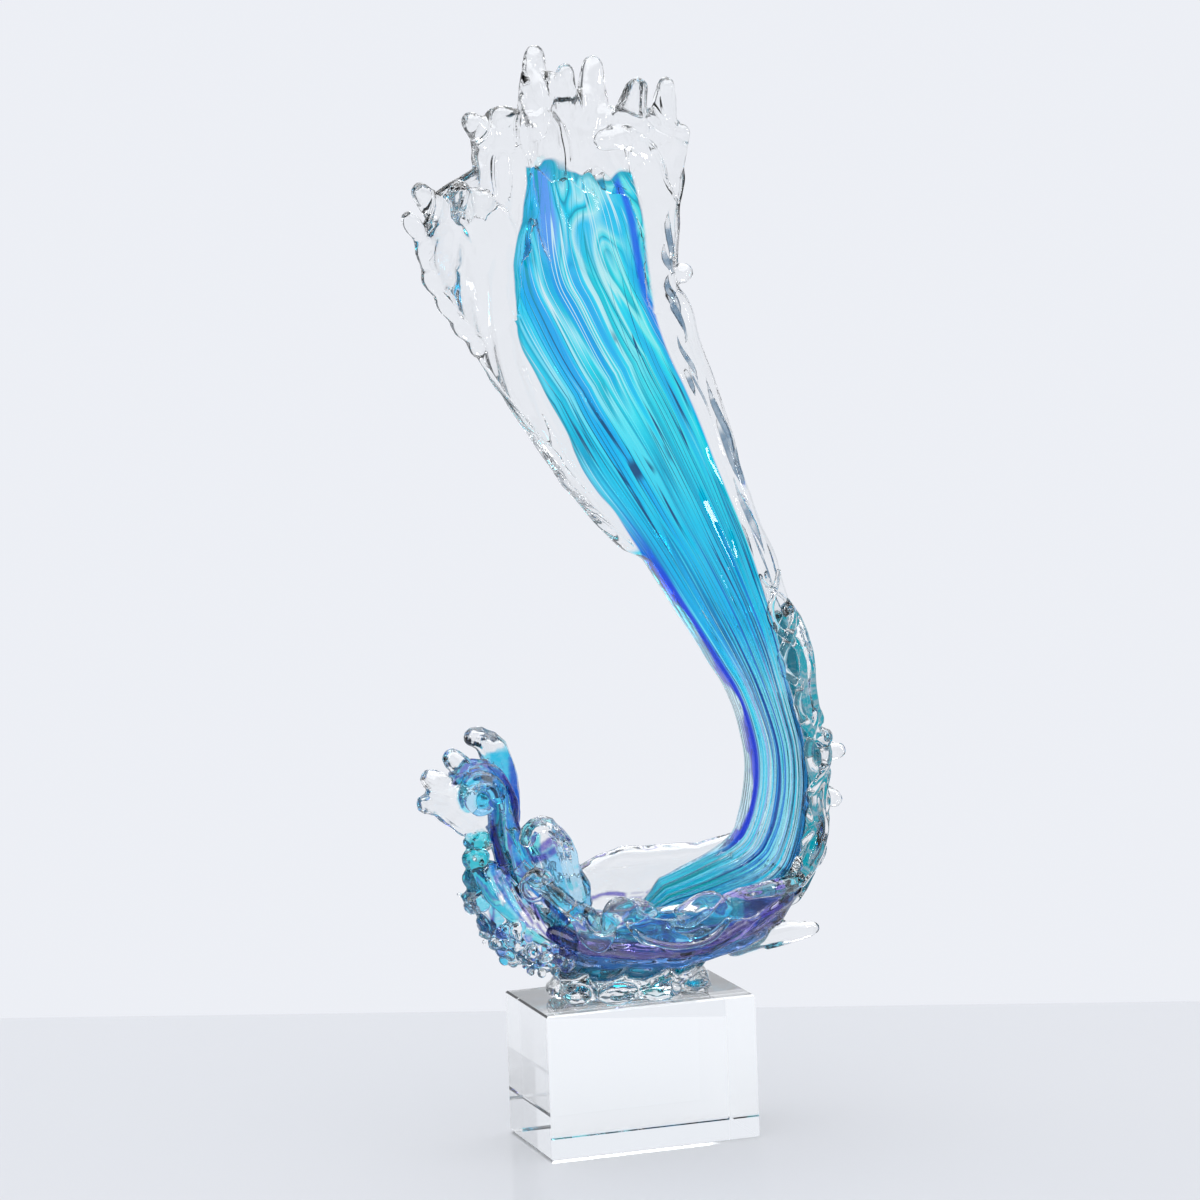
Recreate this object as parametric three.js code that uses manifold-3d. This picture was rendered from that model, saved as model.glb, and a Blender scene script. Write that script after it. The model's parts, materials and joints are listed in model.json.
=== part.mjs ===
// A breaking wave of hot-worked glass, bonded to a polished crystal block.
// Millimetres, +Z up. The origin is the middle of the block's underside, and the front faces -Y.
import * as THREE from "three";
import { mergeVertices } from "three/addons/utils/BufferGeometryUtils.js";
import Module from "manifold-3d";

const wasm = await Module();
wasm.setup();

// Block and bond
const blockLength = 120;
const blockDepth = 75;
const blockHeight = 80;
const blockArris = 1;
const bondThickness = 0.25;
const bondMargin = 8;

// Glass bits that touch were fused hot: as separate solids they keep this seat between them
const seatGap = 0.3;

// Foot
const footLength = 92;
const footDepth = 60;
const footHeight = 20;
const footLobeCount = 9;
const footLobeDepth = 0.14;

// Trough
const bowlHalfDepth = 42;
const bowlWall = 8;
const rimFrontHeight = 31;
const rimBackHeight = 46;
const lipRadius = 6;
const ruffleRadius = 4.5;
const strandRadius = 4.5;
const tailRadius = 5;

// Column
const caneCount = 9;
const caneClearance = 0.6;
const caneFullness = 0.55;
const caneSwell = 0.28;
const caneSwellCount = 6;
const finHalfThickness = 5;
const ropeRadius = 9;
const wrapRadius = 4.5;
const beadRadius = 5;

// Crest
const petalHalfThickness = 5.5;
const fingerRadius = 5.5;
const dropRadius = 6;
const hemRadius = 4.5;

// Splash
const stemRadius = 12;
const hornRadius = 8;
const curlRadius = 9;
const curlTubeRadius = 4.5;
const lobeRadius = 6;
const foamRadius = 5.5;

const FRONT = new THREE.Vector3(0, -1, 0);
const TIP_ROWS = 2;

// Shares that the hot glass takes up by itself: a drawn bit swells at its root and tapers to its tip,
// a trail necks in between its beads, and a column is thinner at its edges
const rootSwell = 1.15;
const tipTaper = 0.85;
const fingerRootSwell = 1.6;
const fingerTipTaper = 0.65;
const beadNeck = 0.55;
const columnEdge = 0.7;
const longestTip = 0.45;

// Finishes
function glass(color) {
  return new THREE.MeshStandardMaterial({ color, roughness: 0.05, metalness: 0 });
}
const clearGlass = glass(0xe6eef2);
const aquaGlass = glass(0x23b4d6);
const cobaltGlass = glass(0x2456c4);
const violetGlass = glass(0x5548b8);
const crystal = glass(0xf2f6f7);
const adhesive = glass(0xdfe8ea);

// A closed geometry as a solid that can be cut
function toSolid(geometry) {
  geometry.deleteAttribute("normal");
  geometry.deleteAttribute("uv");
  const merged = mergeVertices(geometry);
  const vertProperties = merged.getAttribute("position").array;
  const triVerts = Uint32Array.from(merged.getIndex().array);
  return new wasm.Manifold(new wasm.Mesh({ numProp: 3, vertProperties, triVerts }));
}

function toGeometry(solid) {
  const { vertProperties, triVerts } = solid.getMesh();
  const geometry = new THREE.BufferGeometry();
  geometry.setAttribute("position", new THREE.BufferAttribute(vertProperties, 3));
  geometry.setIndex(new THREE.BufferAttribute(triVerts, 1));
  geometry.computeVertexNormals();
  return geometry;
}

// Where a row of the sphere lands: its place along the spine, its share of the full section, and how
// far a grown skin is pushed past the tip
function tipRow(row, steps, startTip, endTip) {
  const last = steps + 2 * TIP_ROWS;
  const fromEnd = Math.min(row, last - row);
  const angle = Math.min(1, fromEnd / TIP_ROWS) * Math.PI / 2;
  if (row <= TIP_ROWS) {
    return { along: startTip * (1 - Math.cos(angle)), share: Math.sin(angle), push: -Math.cos(angle) };
  }
  if (row >= last - TIP_ROWS) {
    return { along: 1 - endTip * (1 - Math.cos(angle)), share: Math.sin(angle), push: Math.cos(angle) };
  }
  return { along: startTip + (row - TIP_ROWS) / steps * (1 - startTip - endTip), share: 1, push: 0 };
}

// Hot glass pulled along a spine. A station is [x, y, z, across, deep]: a spine point and the
// half-sizes of the section there, with deep towards facing. A sphere is drawn out along the spine, so
// its poles become the rounded tips. A fullness of 1 gives a round section and less a squarer one,
// swell changes its depth along the spine, and grow moves the whole skin out.
function pull(stations, options = {}, grow = 0) {
  const { facing = FRONT, sides = 8, steps = 6, fullness = 1 } = options;
  const { ripple = () => 1, swell = () => 1 } = options;
  const fuller = (value) => Math.sign(value) * Math.abs(value) ** fullness;
  const spine = new THREE.CatmullRomCurve3(stations.map(([x, y, z]) => new THREE.Vector3(x, y, z)));
  const sizes = new THREE.CatmullRomCurve3(stations.map(([, , , a, d]) => new THREE.Vector3(a, d, 0)));
  const length = spine.getLength();
  const tipOf = ([, , , across, deep]) => Math.min(longestTip, Math.max(across, deep) / length);
  const startTip = tipOf(stations[0]);
  const endTip = tipOf(stations[stations.length - 1]);
  const rows = steps + 2 * TIP_ROWS;
  const ball = new THREE.SphereGeometry(1, sides, rows);
  const position = ball.getAttribute("position");
  for (let i = 0; i < position.count; i += 1) {
    const row = rows - Math.floor(i / (sides + 1));
    const turn = (i % (sides + 1)) / sides * 2 * Math.PI;
    const { along, share, push } = tipRow(row, steps, startTip, endTip);
    const tangent = spine.getTangent(along);
    const across = tangent.clone().cross(facing).normalize();
    const deep = across.clone().cross(tangent);
    const size = sizes.getPoint(along);
    const scale = share * ripple(along, turn);
    const point = spine.getPoint(along).addScaledVector(tangent, push * grow);
    point.addScaledVector(across, -fuller(Math.cos(turn)) * (scale * size.x + share * grow));
    point.addScaledVector(deep, fuller(Math.sin(turn)) * (scale * swell(along) * size.y + share * grow));
    position.setXYZ(i, point.x, point.y, point.z);
  }
  return toSolid(ball);
}

// A drop or finger: a pull from its root to its tip
function finger(root, tip, radius, thickness = radius, start = rootSwell, end = tipTaper) {
  const middle = root.map((value, axis) => (value + tip[axis]) / 2);
  const stations = [
    [...root, start * radius, thickness],
    [...middle, radius, thickness],
    [...tip, end * radius, end * thickness],
  ];
  return (grow) => pull(stations, { sides: 8, steps: 1 }, grow);
}

// A trail of beads: the section swells once for each bead
function beadTrail(points, radius, beads) {
  const stations = points.map((point) => [...point, radius, radius]);
  const ripple = (along) => beadNeck + (1 - beadNeck) * Math.abs(Math.sin(Math.PI * beads * along));
  return (grow) => pull(stations, { sides: 6, steps: 4 * beads, ripple }, grow);
}

// The wave stands on the block: its own frame has the top of the foot at z = 0
const wave = new THREE.Group();
wave.position.z = blockHeight + bondThickness + footHeight;

const seated = [];

function boxesMeet(a, b) {
  return [0, 1, 2].every((axis) => a.min[axis] <= b.max[axis] && b.min[axis] <= a.max[axis]);
}

function largestBody(solid) {
  return solid.decompose().reduce((best, body) => (body.volume() > best.volume() ? body : best));
}

// Adds a bit to the wave. Where it meets earlier bits it is cut to their skin, with the seat between.
function seat(name, material, shape) {
  let solid = shape(0);
  for (const neighbour of seated) {
    if (boxesMeet(solid.boundingBox(), neighbour.boundingBox())) {
      solid = solid.subtract(neighbour);
    }
  }
  const mesh = new THREE.Mesh(toGeometry(largestBody(solid)), material);
  mesh.name = name;
  wave.add(mesh);
  seated.push(shape(seatGap));
}

function seatPull(name, material, stations, options) {
  seat(name, material, (grow) => pull(stations, options, grow));
}

// Block: a chamfered crystal plinth
function makeBlock() {
  const half = { x: blockLength / 2 - blockArris, y: blockDepth / 2 - blockArris };
  const outline = new THREE.Shape();
  outline.moveTo(-half.x, -half.y);
  outline.lineTo(half.x, -half.y);
  outline.lineTo(half.x, half.y);
  outline.lineTo(-half.x, half.y);
  outline.closePath();
  const geometry = new THREE.ExtrudeGeometry(outline, {
    depth: blockHeight - 2 * blockArris,
    bevelThickness: blockArris,
    bevelSize: blockArris,
    bevelSegments: 1,
  });
  geometry.translate(0, 0, blockArris);
  const mesh = new THREE.Mesh(geometry, crystal);
  mesh.name = "crystal_block";
  return mesh;
}

// Bond: a thin oval of clear adhesive under the foot
function makeBond() {
  const geometry = new THREE.CylinderGeometry(1, 1, bondThickness, 40);
  geometry.rotateX(Math.PI / 2);
  geometry.scale(footLength / 2 - bondMargin, footDepth / 2 - bondMargin, 1);
  const mesh = new THREE.Mesh(geometry, adhesive);
  mesh.name = "bond_film";
  mesh.position.z = blockHeight + bondThickness / 2;
  return mesh;
}

// Column: canes laid side by side between an inner and an outer edge, from the trough to the crest.
// A station is [inner point, outer point, half-depth of the column, bow of its face to the front].
const columnStations = [
  [[24, 22, 35], [31, 17, 13], 5, 0],
  [[51, 18, 47], [67, 13, 21], 7, 1],
  [[68, 11, 59], [96, 8, 36], 10, 2],
  [[72, 5, 72], [104, 4, 62], 12, 3],
  [[75, 0, 103], [105, 0, 104], 13, 4],
  [[67, 0, 138], [95, 0, 147], 13, 5],
  [[52, 0, 165], [88, 0, 179], 13, 5],
  [[30, 2, 202], [76, 2, 222], 12, 5],
  [[10, 4, 235], [62, 4, 261], 11, 4],
  [[-13, 4, 270], [48, 4, 300], 10, 3],
  [[-32, 2, 305], [32, 2, 335], 9, 1],
  [[-47, 0, 345], [25, 0, 363], 8, -2],
  [[-52, -3, 375], [23, -3, 380], 7, -5],
  [[-47, -6, 410], [20, -6, 408], 6, -7],
  [[-43, -8, 440], [14, -8, 430], 5, -8],
];

function caneStations(index) {
  const share = (index + 0.5) / caneCount;
  const arch = 1 - (2 * share - 1) ** 2;
  const inner = columnStations.map(([point]) => new THREE.Vector3(...point));
  const outer = columnStations.map(([, point]) => new THREE.Vector3(...point));
  const middle = new THREE.CatmullRomCurve3(inner.map((point, k) => point.clone().lerp(outer[k], 0.5)));
  return columnStations.map(([, , halfDepth, bow], k) => {
    const tangent = middle.getTangent(k / (columnStations.length - 1));
    const across = tangent.cross(FRONT).normalize();
    const width = Math.abs(outer[k].clone().sub(inner[k]).dot(across)) / caneCount;
    const point = inner[k].clone().lerp(outer[k], share).addScaledVector(FRONT, bow * arch);
    const depth = halfDepth * (columnEdge + (1 - columnEdge) * arch);
    return [point.x, point.y, point.z, (width - caneClearance) / 2, depth];
  });
}

// Canes pressed side by side are squarish. They run even at the neck, then swell and neck in turn, more
// and more towards the crest, each out of step with the next.
function addColumn() {
  const goldenTurn = Math.PI * (3 - Math.sqrt(5));
  for (let index = 0; index < caneCount; index += 1) {
    const edge = index === 0 ? violetGlass : aquaGlass;
    const material = index === caneCount - 1 ? cobaltGlass : edge;
    const beat = (along) => Math.sin(2 * Math.PI * caneSwellCount * along + goldenTurn * index);
    const swell = (along) => 1 + caneSwell * along ** 2 * beat(along);
    const options = { sides: 8, steps: 27, fullness: caneFullness, swell };
    seatPull(`cane_${index + 1}`, material, caneStations(index), options);
  }
}

// Column edges: clear fins, a dark rope down the spine, and the bits wound round it
function addColumnEdges() {
  const thick = finHalfThickness;
  seatPull("spine_rope", cobaltGlass, [
    [96, 4, 26, ropeRadius, ropeRadius],
    [106, 4, 42, ropeRadius, ropeRadius],
    [110, 3, 64, ropeRadius, ropeRadius],
    [111, 2, 104, ropeRadius, ropeRadius],
    [106, 2, 145, ropeRadius, 0.9 * ropeRadius],
    [102, 2, 165, 0.95 * ropeRadius, 0.8 * ropeRadius],
    [96, 2, 186, 0.8 * ropeRadius, 0.7 * ropeRadius],
  ], { sides: 8, steps: 10 });
  seatPull("right_fin", clearGlass, [
    [95, 2, 184, 6, thick],
    [88, 2, 206, 7, thick],
    [79, 2, 232, 7, thick],
    [67, 2, 262, 8, thick],
    [56, 2, 300, 10, thick],
    [42, 2, 332, 12, thick],
    [36, 1, 362, 12, thick],
  ], { steps: 10 });
  seatPull("left_fin", clearGlass, [
    [13, 3, 226, 4, 0.8 * thick],
    [-5, 3, 250, 7.5, thick],
    [-19, 3, 271, 9, thick],
    [-37, 2, 301, 11.5, thick],
    [-49, 1, 327, 14, thick],
    [-58, 0, 352, 17, thick],
  ], { steps: 8 });
  seatPull("spine_wrap_upper", clearGlass, [
    [95, -5, 190, wrapRadius, wrapRadius],
    [103, -7, 176, wrapRadius, wrapRadius],
    [107, -9, 158, wrapRadius, wrapRadius],
    [108, -9, 136, wrapRadius, wrapRadius],
    [114, -7, 120, wrapRadius, wrapRadius],
  ], { steps: 7 });
  seatPull("spine_wrap_lower", clearGlass, [
    [96, -6, 30, wrapRadius, wrapRadius],
    [108, -7, 46, wrapRadius, wrapRadius],
    [114, -6, 64, wrapRadius, wrapRadius],
    [113, -8, 84, wrapRadius, wrapRadius],
    [117, -6, 98, wrapRadius, wrapRadius],
  ], { steps: 7 });
  seat("spine_bead_upper", clearGlass, finger([113, -4, 113], [121, -9, 115], beadRadius));
  seat("spine_bead_lower", clearGlass, finger([117, 0, 103], [131, -2, 105], beadRadius));
  seat("spine_thorn", clearGlass, finger([114, 1, 83], [128, 0, 75], beadRadius));
}

// Trough: a boat-shaped bowl whose rim slopes up to the back
const bowlStations = [
  [-48, 0, 36, 26, 0.57 * bowlHalfDepth],
  [-20, 0, 31, 34, 0.9 * bowlHalfDepth],
  [20, 0, 30, 36, bowlHalfDepth],
  [62, 0, 34, 32, 0.9 * bowlHalfDepth],
  [102, 0, 44, 22, 0.57 * bowlHalfDepth],
];

function aboveRim(grow) {
  const reach = 400;
  const rise = rimBackHeight - rimFrontHeight;
  const above = new THREE.BoxGeometry(reach, reach, reach);
  above.translate(0, 0, reach / 2 + grow);
  above.rotateX(Math.atan2(rise, 2 * bowlHalfDepth));
  above.translate(0, 0, (rimFrontHeight + rimBackHeight) / 2);
  return toSolid(above);
}

function bowl(grow) {
  const options = { sides: 16, steps: 8 };
  const outside = pull(bowlStations, options, grow);
  const hollow = pull(bowlStations, options, -bowlWall - grow);
  return outside.subtract(hollow).subtract(aboveRim(grow));
}

function addTrough() {
  const back = bowlHalfDepth - bowlWall;
  const backRim = rimBackHeight;
  const front = -bowlHalfDepth;
  const frontRim = rimFrontHeight;
  seat("trough_bowl", violetGlass, bowl);
  seatPull("trough_back_lip", clearGlass, [
    [-18, back - 4, backRim - 4, 0.7 * lipRadius, 0.7 * lipRadius],
    [6, back, backRim + 1, 1.2 * lipRadius, 0.8 * lipRadius],
    [32, back, backRim + 1, 1.2 * lipRadius, 0.8 * lipRadius],
    [56, back - 2, backRim + 2, lipRadius, 0.8 * lipRadius],
    [78, back - 7, backRim + 10, 0.7 * lipRadius, 0.7 * lipRadius],
  ], { steps: 8 });
  seatPull("front_ruffle_left", clearGlass, [
    [-62, front + 24, frontRim + 23, ruffleRadius, ruffleRadius],
    [-50, front + 18, frontRim + 15, ruffleRadius, ruffleRadius],
    [-40, front + 13, frontRim + 5, ruffleRadius, ruffleRadius],
    [-33, front + 10, frontRim + 2, ruffleRadius, ruffleRadius],
    [-27, front + 6, frontRim - 6, ruffleRadius, ruffleRadius],
    [-17, front + 4, frontRim + 2, ruffleRadius, ruffleRadius],
    [-6, front + 4, frontRim + 4, ruffleRadius, ruffleRadius],
    [4, front + 3, frontRim - 1, ruffleRadius, ruffleRadius],
  ], { steps: 16 });
  seatPull("front_ruffle_right", clearGlass, [
    [9, front + 2, frontRim - 6, ruffleRadius, ruffleRadius],
    [20, front + 1, frontRim - 11, ruffleRadius, ruffleRadius],
    [34, front + 1, frontRim - 7, ruffleRadius, ruffleRadius],
    [46, front + 4, frontRim + 2, ruffleRadius, ruffleRadius],
    [66, front + 7, frontRim + 5, ruffleRadius, ruffleRadius],
    [84, front + 14, frontRim + 6, ruffleRadius, ruffleRadius],
    [97, front + 26, frontRim + 7, ruffleRadius, ruffleRadius],
  ], { steps: 14 });
  seatPull("keel_strand_upper", violetGlass, [
    [-52, front + 26, 22, strandRadius, strandRadius],
    [-32, front + 14, 14, strandRadius, strandRadius],
    [2, front + 7, 9, strandRadius, strandRadius],
    [36, front + 5, 10, strandRadius, strandRadius],
    [68, front + 8, 24, strandRadius, strandRadius],
    [88, front + 19, 32, strandRadius, strandRadius],
  ], { steps: 10 });
  seatPull("keel_strand_lower", cobaltGlass, [
    [-46, front + 27, 12, strandRadius, strandRadius],
    [-20, front + 17, 4, strandRadius, strandRadius],
    [20, front + 15, 1, strandRadius, strandRadius],
    [50, front + 18, 5, strandRadius, strandRadius],
    [74, front + 20, 13, strandRadius, strandRadius],
  ], { steps: 8 });
  seatPull("tail_spike", clearGlass, [
    [52, -14, 1, tailRadius, tailRadius],
    [72, -16, 6, 1.2 * tailRadius, tailRadius],
    [92, -16, 9, tailRadius, tailRadius],
    [107, -15, 8, 0.5 * tailRadius, 0.5 * tailRadius],
  ], { steps: 5 });
}

// Foot: a squat gather pinched into lobes all round, ground flat where it is bonded
function foot(grow) {
  const ripple = (along, turn) => 1 - footLobeDepth * (1 - Math.abs(Math.sin(footLobeCount * turn / 2)));
  const belly = [footLength / 2, footDepth / 2];
  const waist = [0.86 * footLength / 2, 0.86 * footDepth / 2];
  const below = 0.5 * footHeight;
  const gather = pull([
    [0, 0, -footHeight - below, ...waist],
    [0, 0, -0.65 * footHeight, ...belly],
    [0, 0, -0.2 * footHeight, ...waist],
    [0, 0, 0.9 * footHeight, ...waist],
  ], { sides: 3 * footLobeCount, steps: 5, ripple }, grow);
  const ground = new THREE.BoxGeometry(2 * footLength, 2 * footLength, 2 * below);
  ground.translate(0, 0, -footHeight - below - grow);
  return gather.subtract(toSolid(ground));
}

// Splash: the small wave that curls up at the left end of the trough
function curl(centre, from, to) {
  const turns = 7;
  const stations = Array.from({ length: turns }, (_, k) => {
    const angle = THREE.MathUtils.degToRad(from + (to - from) * k / (turns - 1));
    const x = centre[0] + curlRadius * Math.cos(angle);
    const z = centre[2] + curlRadius * Math.sin(angle);
    return [x, centre[1], z, curlTubeRadius, curlTubeRadius];
  });
  return (grow) => pull(stations, { sides: 8, steps: 12 }, grow);
}

function addSplash() {
  seatPull("splash_root", violetGlass, [
    [-34, 0, 10, stemRadius, 1.3 * stemRadius],
    [-50, -3, 14, stemRadius, 1.3 * stemRadius],
    [-64, -5, 22, 1.1 * stemRadius, 1.2 * stemRadius],
    [-75, -6, 38, 1.1 * stemRadius, stemRadius],
    [-80, -5, 62, 0.9 * stemRadius, 0.8 * stemRadius],
  ], { sides: 9, steps: 7 });
  seatPull("splash_stem", violetGlass, [
    [-34, 4, 28, stemRadius, stemRadius],
    [-50, 2, 40, stemRadius, stemRadius],
    [-62, 0, 57, 0.9 * stemRadius, stemRadius],
    [-69, 0, 78, 0.75 * stemRadius, 0.85 * stemRadius],
    [-71, 0, 97, 0.65 * stemRadius, 0.75 * stemRadius],
    [-78, -1, 110, 0.55 * stemRadius, 0.65 * stemRadius],
    [-90, -3, 112, 0.45 * stemRadius, 0.5 * stemRadius],
    [-98, -4, 106, 0.4 * stemRadius, 0.45 * stemRadius],
  ], { sides: 10, steps: 12 });
  seatPull("splash_horn", aquaGlass, [
    [-64, 8, 74, hornRadius, hornRadius],
    [-64, 10, 96, hornRadius, hornRadius],
    [-68, 9, 115, hornRadius, hornRadius],
    [-76, 7, 126, 0.85 * hornRadius, 0.8 * hornRadius],
    [-87, 6, 129, 0.5 * hornRadius, 0.5 * hornRadius],
  ], { steps: 7 });
  seatPull("splash_hump", aquaGlass, [
    [-30, -14, 28, stemRadius, 0.8 * stemRadius],
    [-40, -16, 48, stemRadius, 0.8 * stemRadius],
    [-47, -15, 66, 0.9 * stemRadius, 0.7 * stemRadius],
    [-55, -12, 80, 0.6 * stemRadius, 0.5 * stemRadius],
  ], { steps: 6 });
  seatPull("splash_petal", clearGlass, [
    [-76, -4, 78, stemRadius, 0.6 * stemRadius],
    [-91, -6, 90, stemRadius, 0.6 * stemRadius],
    [-104, -8, 99, 0.9 * stemRadius, 0.5 * stemRadius],
    [-114, -9, 103, 0.5 * stemRadius, 0.4 * stemRadius],
  ], { steps: 6 });
  seat("splash_curl", cobaltGlass, curl([-84, -14, 99], -30, 230));
  seatPull("splash_hump_rim", clearGlass, [
    [-34, -24, 38, ruffleRadius, ruffleRadius],
    [-38, -26, 54, ruffleRadius, ruffleRadius],
    [-42, -26, 70, ruffleRadius, ruffleRadius],
    [-51, -24, 82, ruffleRadius, ruffleRadius],
    [-60, -23, 81, ruffleRadius, ruffleRadius],
    [-63, -22, 71, ruffleRadius, ruffleRadius],
  ], { steps: 10 });
  seat("splash_lobe_top", clearGlass, finger([-88, -4, 110], [-101, -6, 123], lobeRadius));
  seat("splash_lobe_left", clearGlass, finger([-100, -7, 104], [-116, -9, 113], lobeRadius));
  seat("splash_lobe_low", clearGlass, finger([-98, -8, 95], [-120, -10, 97], lobeRadius));
  seat("splash_side_knobs", cobaltGlass, beadTrail([
    [-83, -8, 80],
    [-88, -9, 66],
    [-89, -9, 52],
    [-89, -8, 36],
  ], 1.35 * foamRadius, 4));
  seat("splash_teardrop", clearGlass, finger([-82, -12, 44], [-96, -13, 37], foamRadius));
  seat("foam_trail_edge", aquaGlass, beadTrail([
    [-86, -8, 28],
    [-76, -10, 14],
    [-62, -12, 6],
    [-46, -14, 0],
  ], foamRadius, 6));
  seat("foam_trail_front", clearGlass, beadTrail([
    [-78, -19, 30],
    [-66, -22, 16],
    [-50, -24, 8],
    [-38, -26, 2],
  ], foamRadius, 6));
}

// Crest: clear petals that carry the sheet on past the colour, drawn out into fingers
function addCrest() {
  const thick = petalHalfThickness;
  const slim = 0.9 * petalHalfThickness;
  seatPull("crest_petal_1", clearGlass, [
    [-61, -1, 344, 10, slim],
    [-68, -8, 368, 20, thick],
    [-79, -15, 398, 26, thick],
    [-87, -22, 428, 21, slim],
  ], { sides: 10, steps: 6 });
  seatPull("crest_petal_2", clearGlass, [
    [-55, -5, 370, 13, slim],
    [-56, -8, 420, 16, thick],
    [-56, -8, 445, 17, thick],
    [-54, -11, 469, 15, slim],
  ], { sides: 10, steps: 5 });
  seatPull("crest_petal_3", clearGlass, [
    [-24, -8, 426, 22, slim],
    [-22, -5, 450, 24, thick],
    [-20, -2, 472, 22, slim],
  ], { sides: 10, steps: 3 });
  seatPull("crest_petal_4", clearGlass, [
    [8, -8, 416, 15, slim],
    [10, -7, 440, 18, thick],
    [13, -6, 466, 16, slim],
  ], { sides: 10, steps: 3 });
  seatPull("crest_petal_5", clearGlass, [
    [31, -2, 350, 10, slim],
    [29, -7, 396, 11, thick],
    [31, -11, 430, 12, thick],
    [33, -14, 458, 9, slim],
  ], { sides: 10, steps: 6 });
  const fingers = [
    { root: [-37, -4, 456], tip: [-33, 4, 499], width: 1.25 },
    { root: [-20, -5, 458], tip: [-22, -14, 489], width: 1 },
    { root: [-5, -5, 450], tip: [-1, 3, 493], width: 1.35 },
    { root: [10, -9, 446], tip: [16, -24, 480], width: 1.4 },
    { root: [32, -10, 440], tip: [34, -17, 480], width: 1.2 },
    { root: [35, -9, 424], tip: [44, -15, 454], width: 0.9 },
    { root: [-61, -9, 446], tip: [-79, -15, 464], width: 1.1 },
    { root: [-92, -18, 410], tip: [-111, -25, 428], width: 1.1 },
  ];
  fingers.forEach(({ root, tip, width }, index) => {
    const sizes = [width * fingerRadius, fingerRadius, fingerRootSwell, fingerTipTaper];
    seat(`crest_finger_${index + 1}`, clearGlass, finger(root, tip, ...sizes));
  });
  seat("crest_drop_left", clearGlass, finger([-84, -20, 408], [-88, -28, 430], dropRadius));
  seat("crest_drop_right", clearGlass, finger([-70, -15, 412], [-73, -23, 425], dropRadius));
  seatPull("crest_roll", clearGlass, [
    [-7, -15, 447, 0.7 * dropRadius, 0.7 * dropRadius],
    [4, -17, 449, 0.9 * dropRadius, 0.8 * dropRadius],
    [15, -17, 452, 0.9 * dropRadius, 0.8 * dropRadius],
    [23, -14, 457, 0.6 * dropRadius, 0.6 * dropRadius],
  ], { steps: 4 });
  seat("crest_hem", clearGlass, beadTrail([
    [-116, -21, 414],
    [-106, -17, 399],
    [-101, -12, 380],
    [-91, -8, 364],
    [-79, -3, 348],
    [-70, -1, 336],
  ], hemRadius, 6));
  seat("crest_edge_bead", clearGlass, finger([38, -3, 373], [49, -4, 376], beadRadius));
}

addColumn();
addTrough();
seat("foot_gather", clearGlass, foot);
addColumnEdges();
addCrest();
addSplash();

const sculpture = new THREE.Group();
sculpture.add(makeBlock(), makeBond(), wave);

export default sculpture;
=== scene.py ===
# %% [markdown]
# # A breaking wave in hot-worked glass
# The sculpture is a wave of coloured and clear glass that rises from a shallow trough, sweeps up
# through a ribbed column and breaks into clear fingers. It is bonded to a polished crystal block.
# The frame holds every bit of glass at its real size and place. This lesson turns those bits into
# glass: bits that were fused hot become one smooth skin, the column gets its drawn-out ribs, and
# every surface gets a finish.

# %% Load the frame
import json
from math import pi, radians

import bmesh
import bpy
import numpy as np
from mathutils import Matrix, Vector, noise
from mathutils.bvhtree import BVHTree
from mathutils.kdtree import KDTree

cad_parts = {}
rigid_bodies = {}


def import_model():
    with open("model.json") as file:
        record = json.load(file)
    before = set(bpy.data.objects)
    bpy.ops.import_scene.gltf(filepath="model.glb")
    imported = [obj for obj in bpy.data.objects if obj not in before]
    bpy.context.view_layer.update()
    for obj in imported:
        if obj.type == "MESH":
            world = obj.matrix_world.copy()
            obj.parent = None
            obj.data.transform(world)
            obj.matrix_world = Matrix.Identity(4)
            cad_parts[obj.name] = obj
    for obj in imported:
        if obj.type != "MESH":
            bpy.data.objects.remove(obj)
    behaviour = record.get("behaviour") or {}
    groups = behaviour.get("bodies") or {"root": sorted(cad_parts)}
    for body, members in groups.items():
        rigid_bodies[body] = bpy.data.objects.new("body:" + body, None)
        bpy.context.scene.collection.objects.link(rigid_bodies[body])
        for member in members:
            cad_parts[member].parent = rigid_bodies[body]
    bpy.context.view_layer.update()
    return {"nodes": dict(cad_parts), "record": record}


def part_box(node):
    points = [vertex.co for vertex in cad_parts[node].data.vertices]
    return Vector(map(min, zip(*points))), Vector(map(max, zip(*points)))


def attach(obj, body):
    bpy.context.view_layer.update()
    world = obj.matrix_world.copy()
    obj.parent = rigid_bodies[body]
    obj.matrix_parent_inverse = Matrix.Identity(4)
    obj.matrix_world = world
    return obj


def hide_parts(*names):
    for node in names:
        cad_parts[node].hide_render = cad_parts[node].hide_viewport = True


for leftover in list(bpy.data.objects):
    bpy.data.objects.remove(leftover)
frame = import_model()
nodes = frame["nodes"]
scene = bpy.context.scene
mm = 0.001
foot_height = 20 * mm
wave_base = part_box("foot_gather")[0][2] + foot_height
print("bits of glass in the frame:", len(nodes))

# %% [markdown]
# ## Camera
# The view was solved from the block's corners: a long lens, a little above the block, turned to its
# left. A camera looks along its own -Z, so the turns are heading, then tilt, then roll.

# %% Camera
photo_pixels = 1200
lens_length = 135.0
sensor_width = 36.0
view_heading = radians(18.174)
view_tilt = radians(7.2)
view_roll = radians(-2.098)
camera_spot = Vector((-0.76725, -2.31070, 0.60613))

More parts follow.
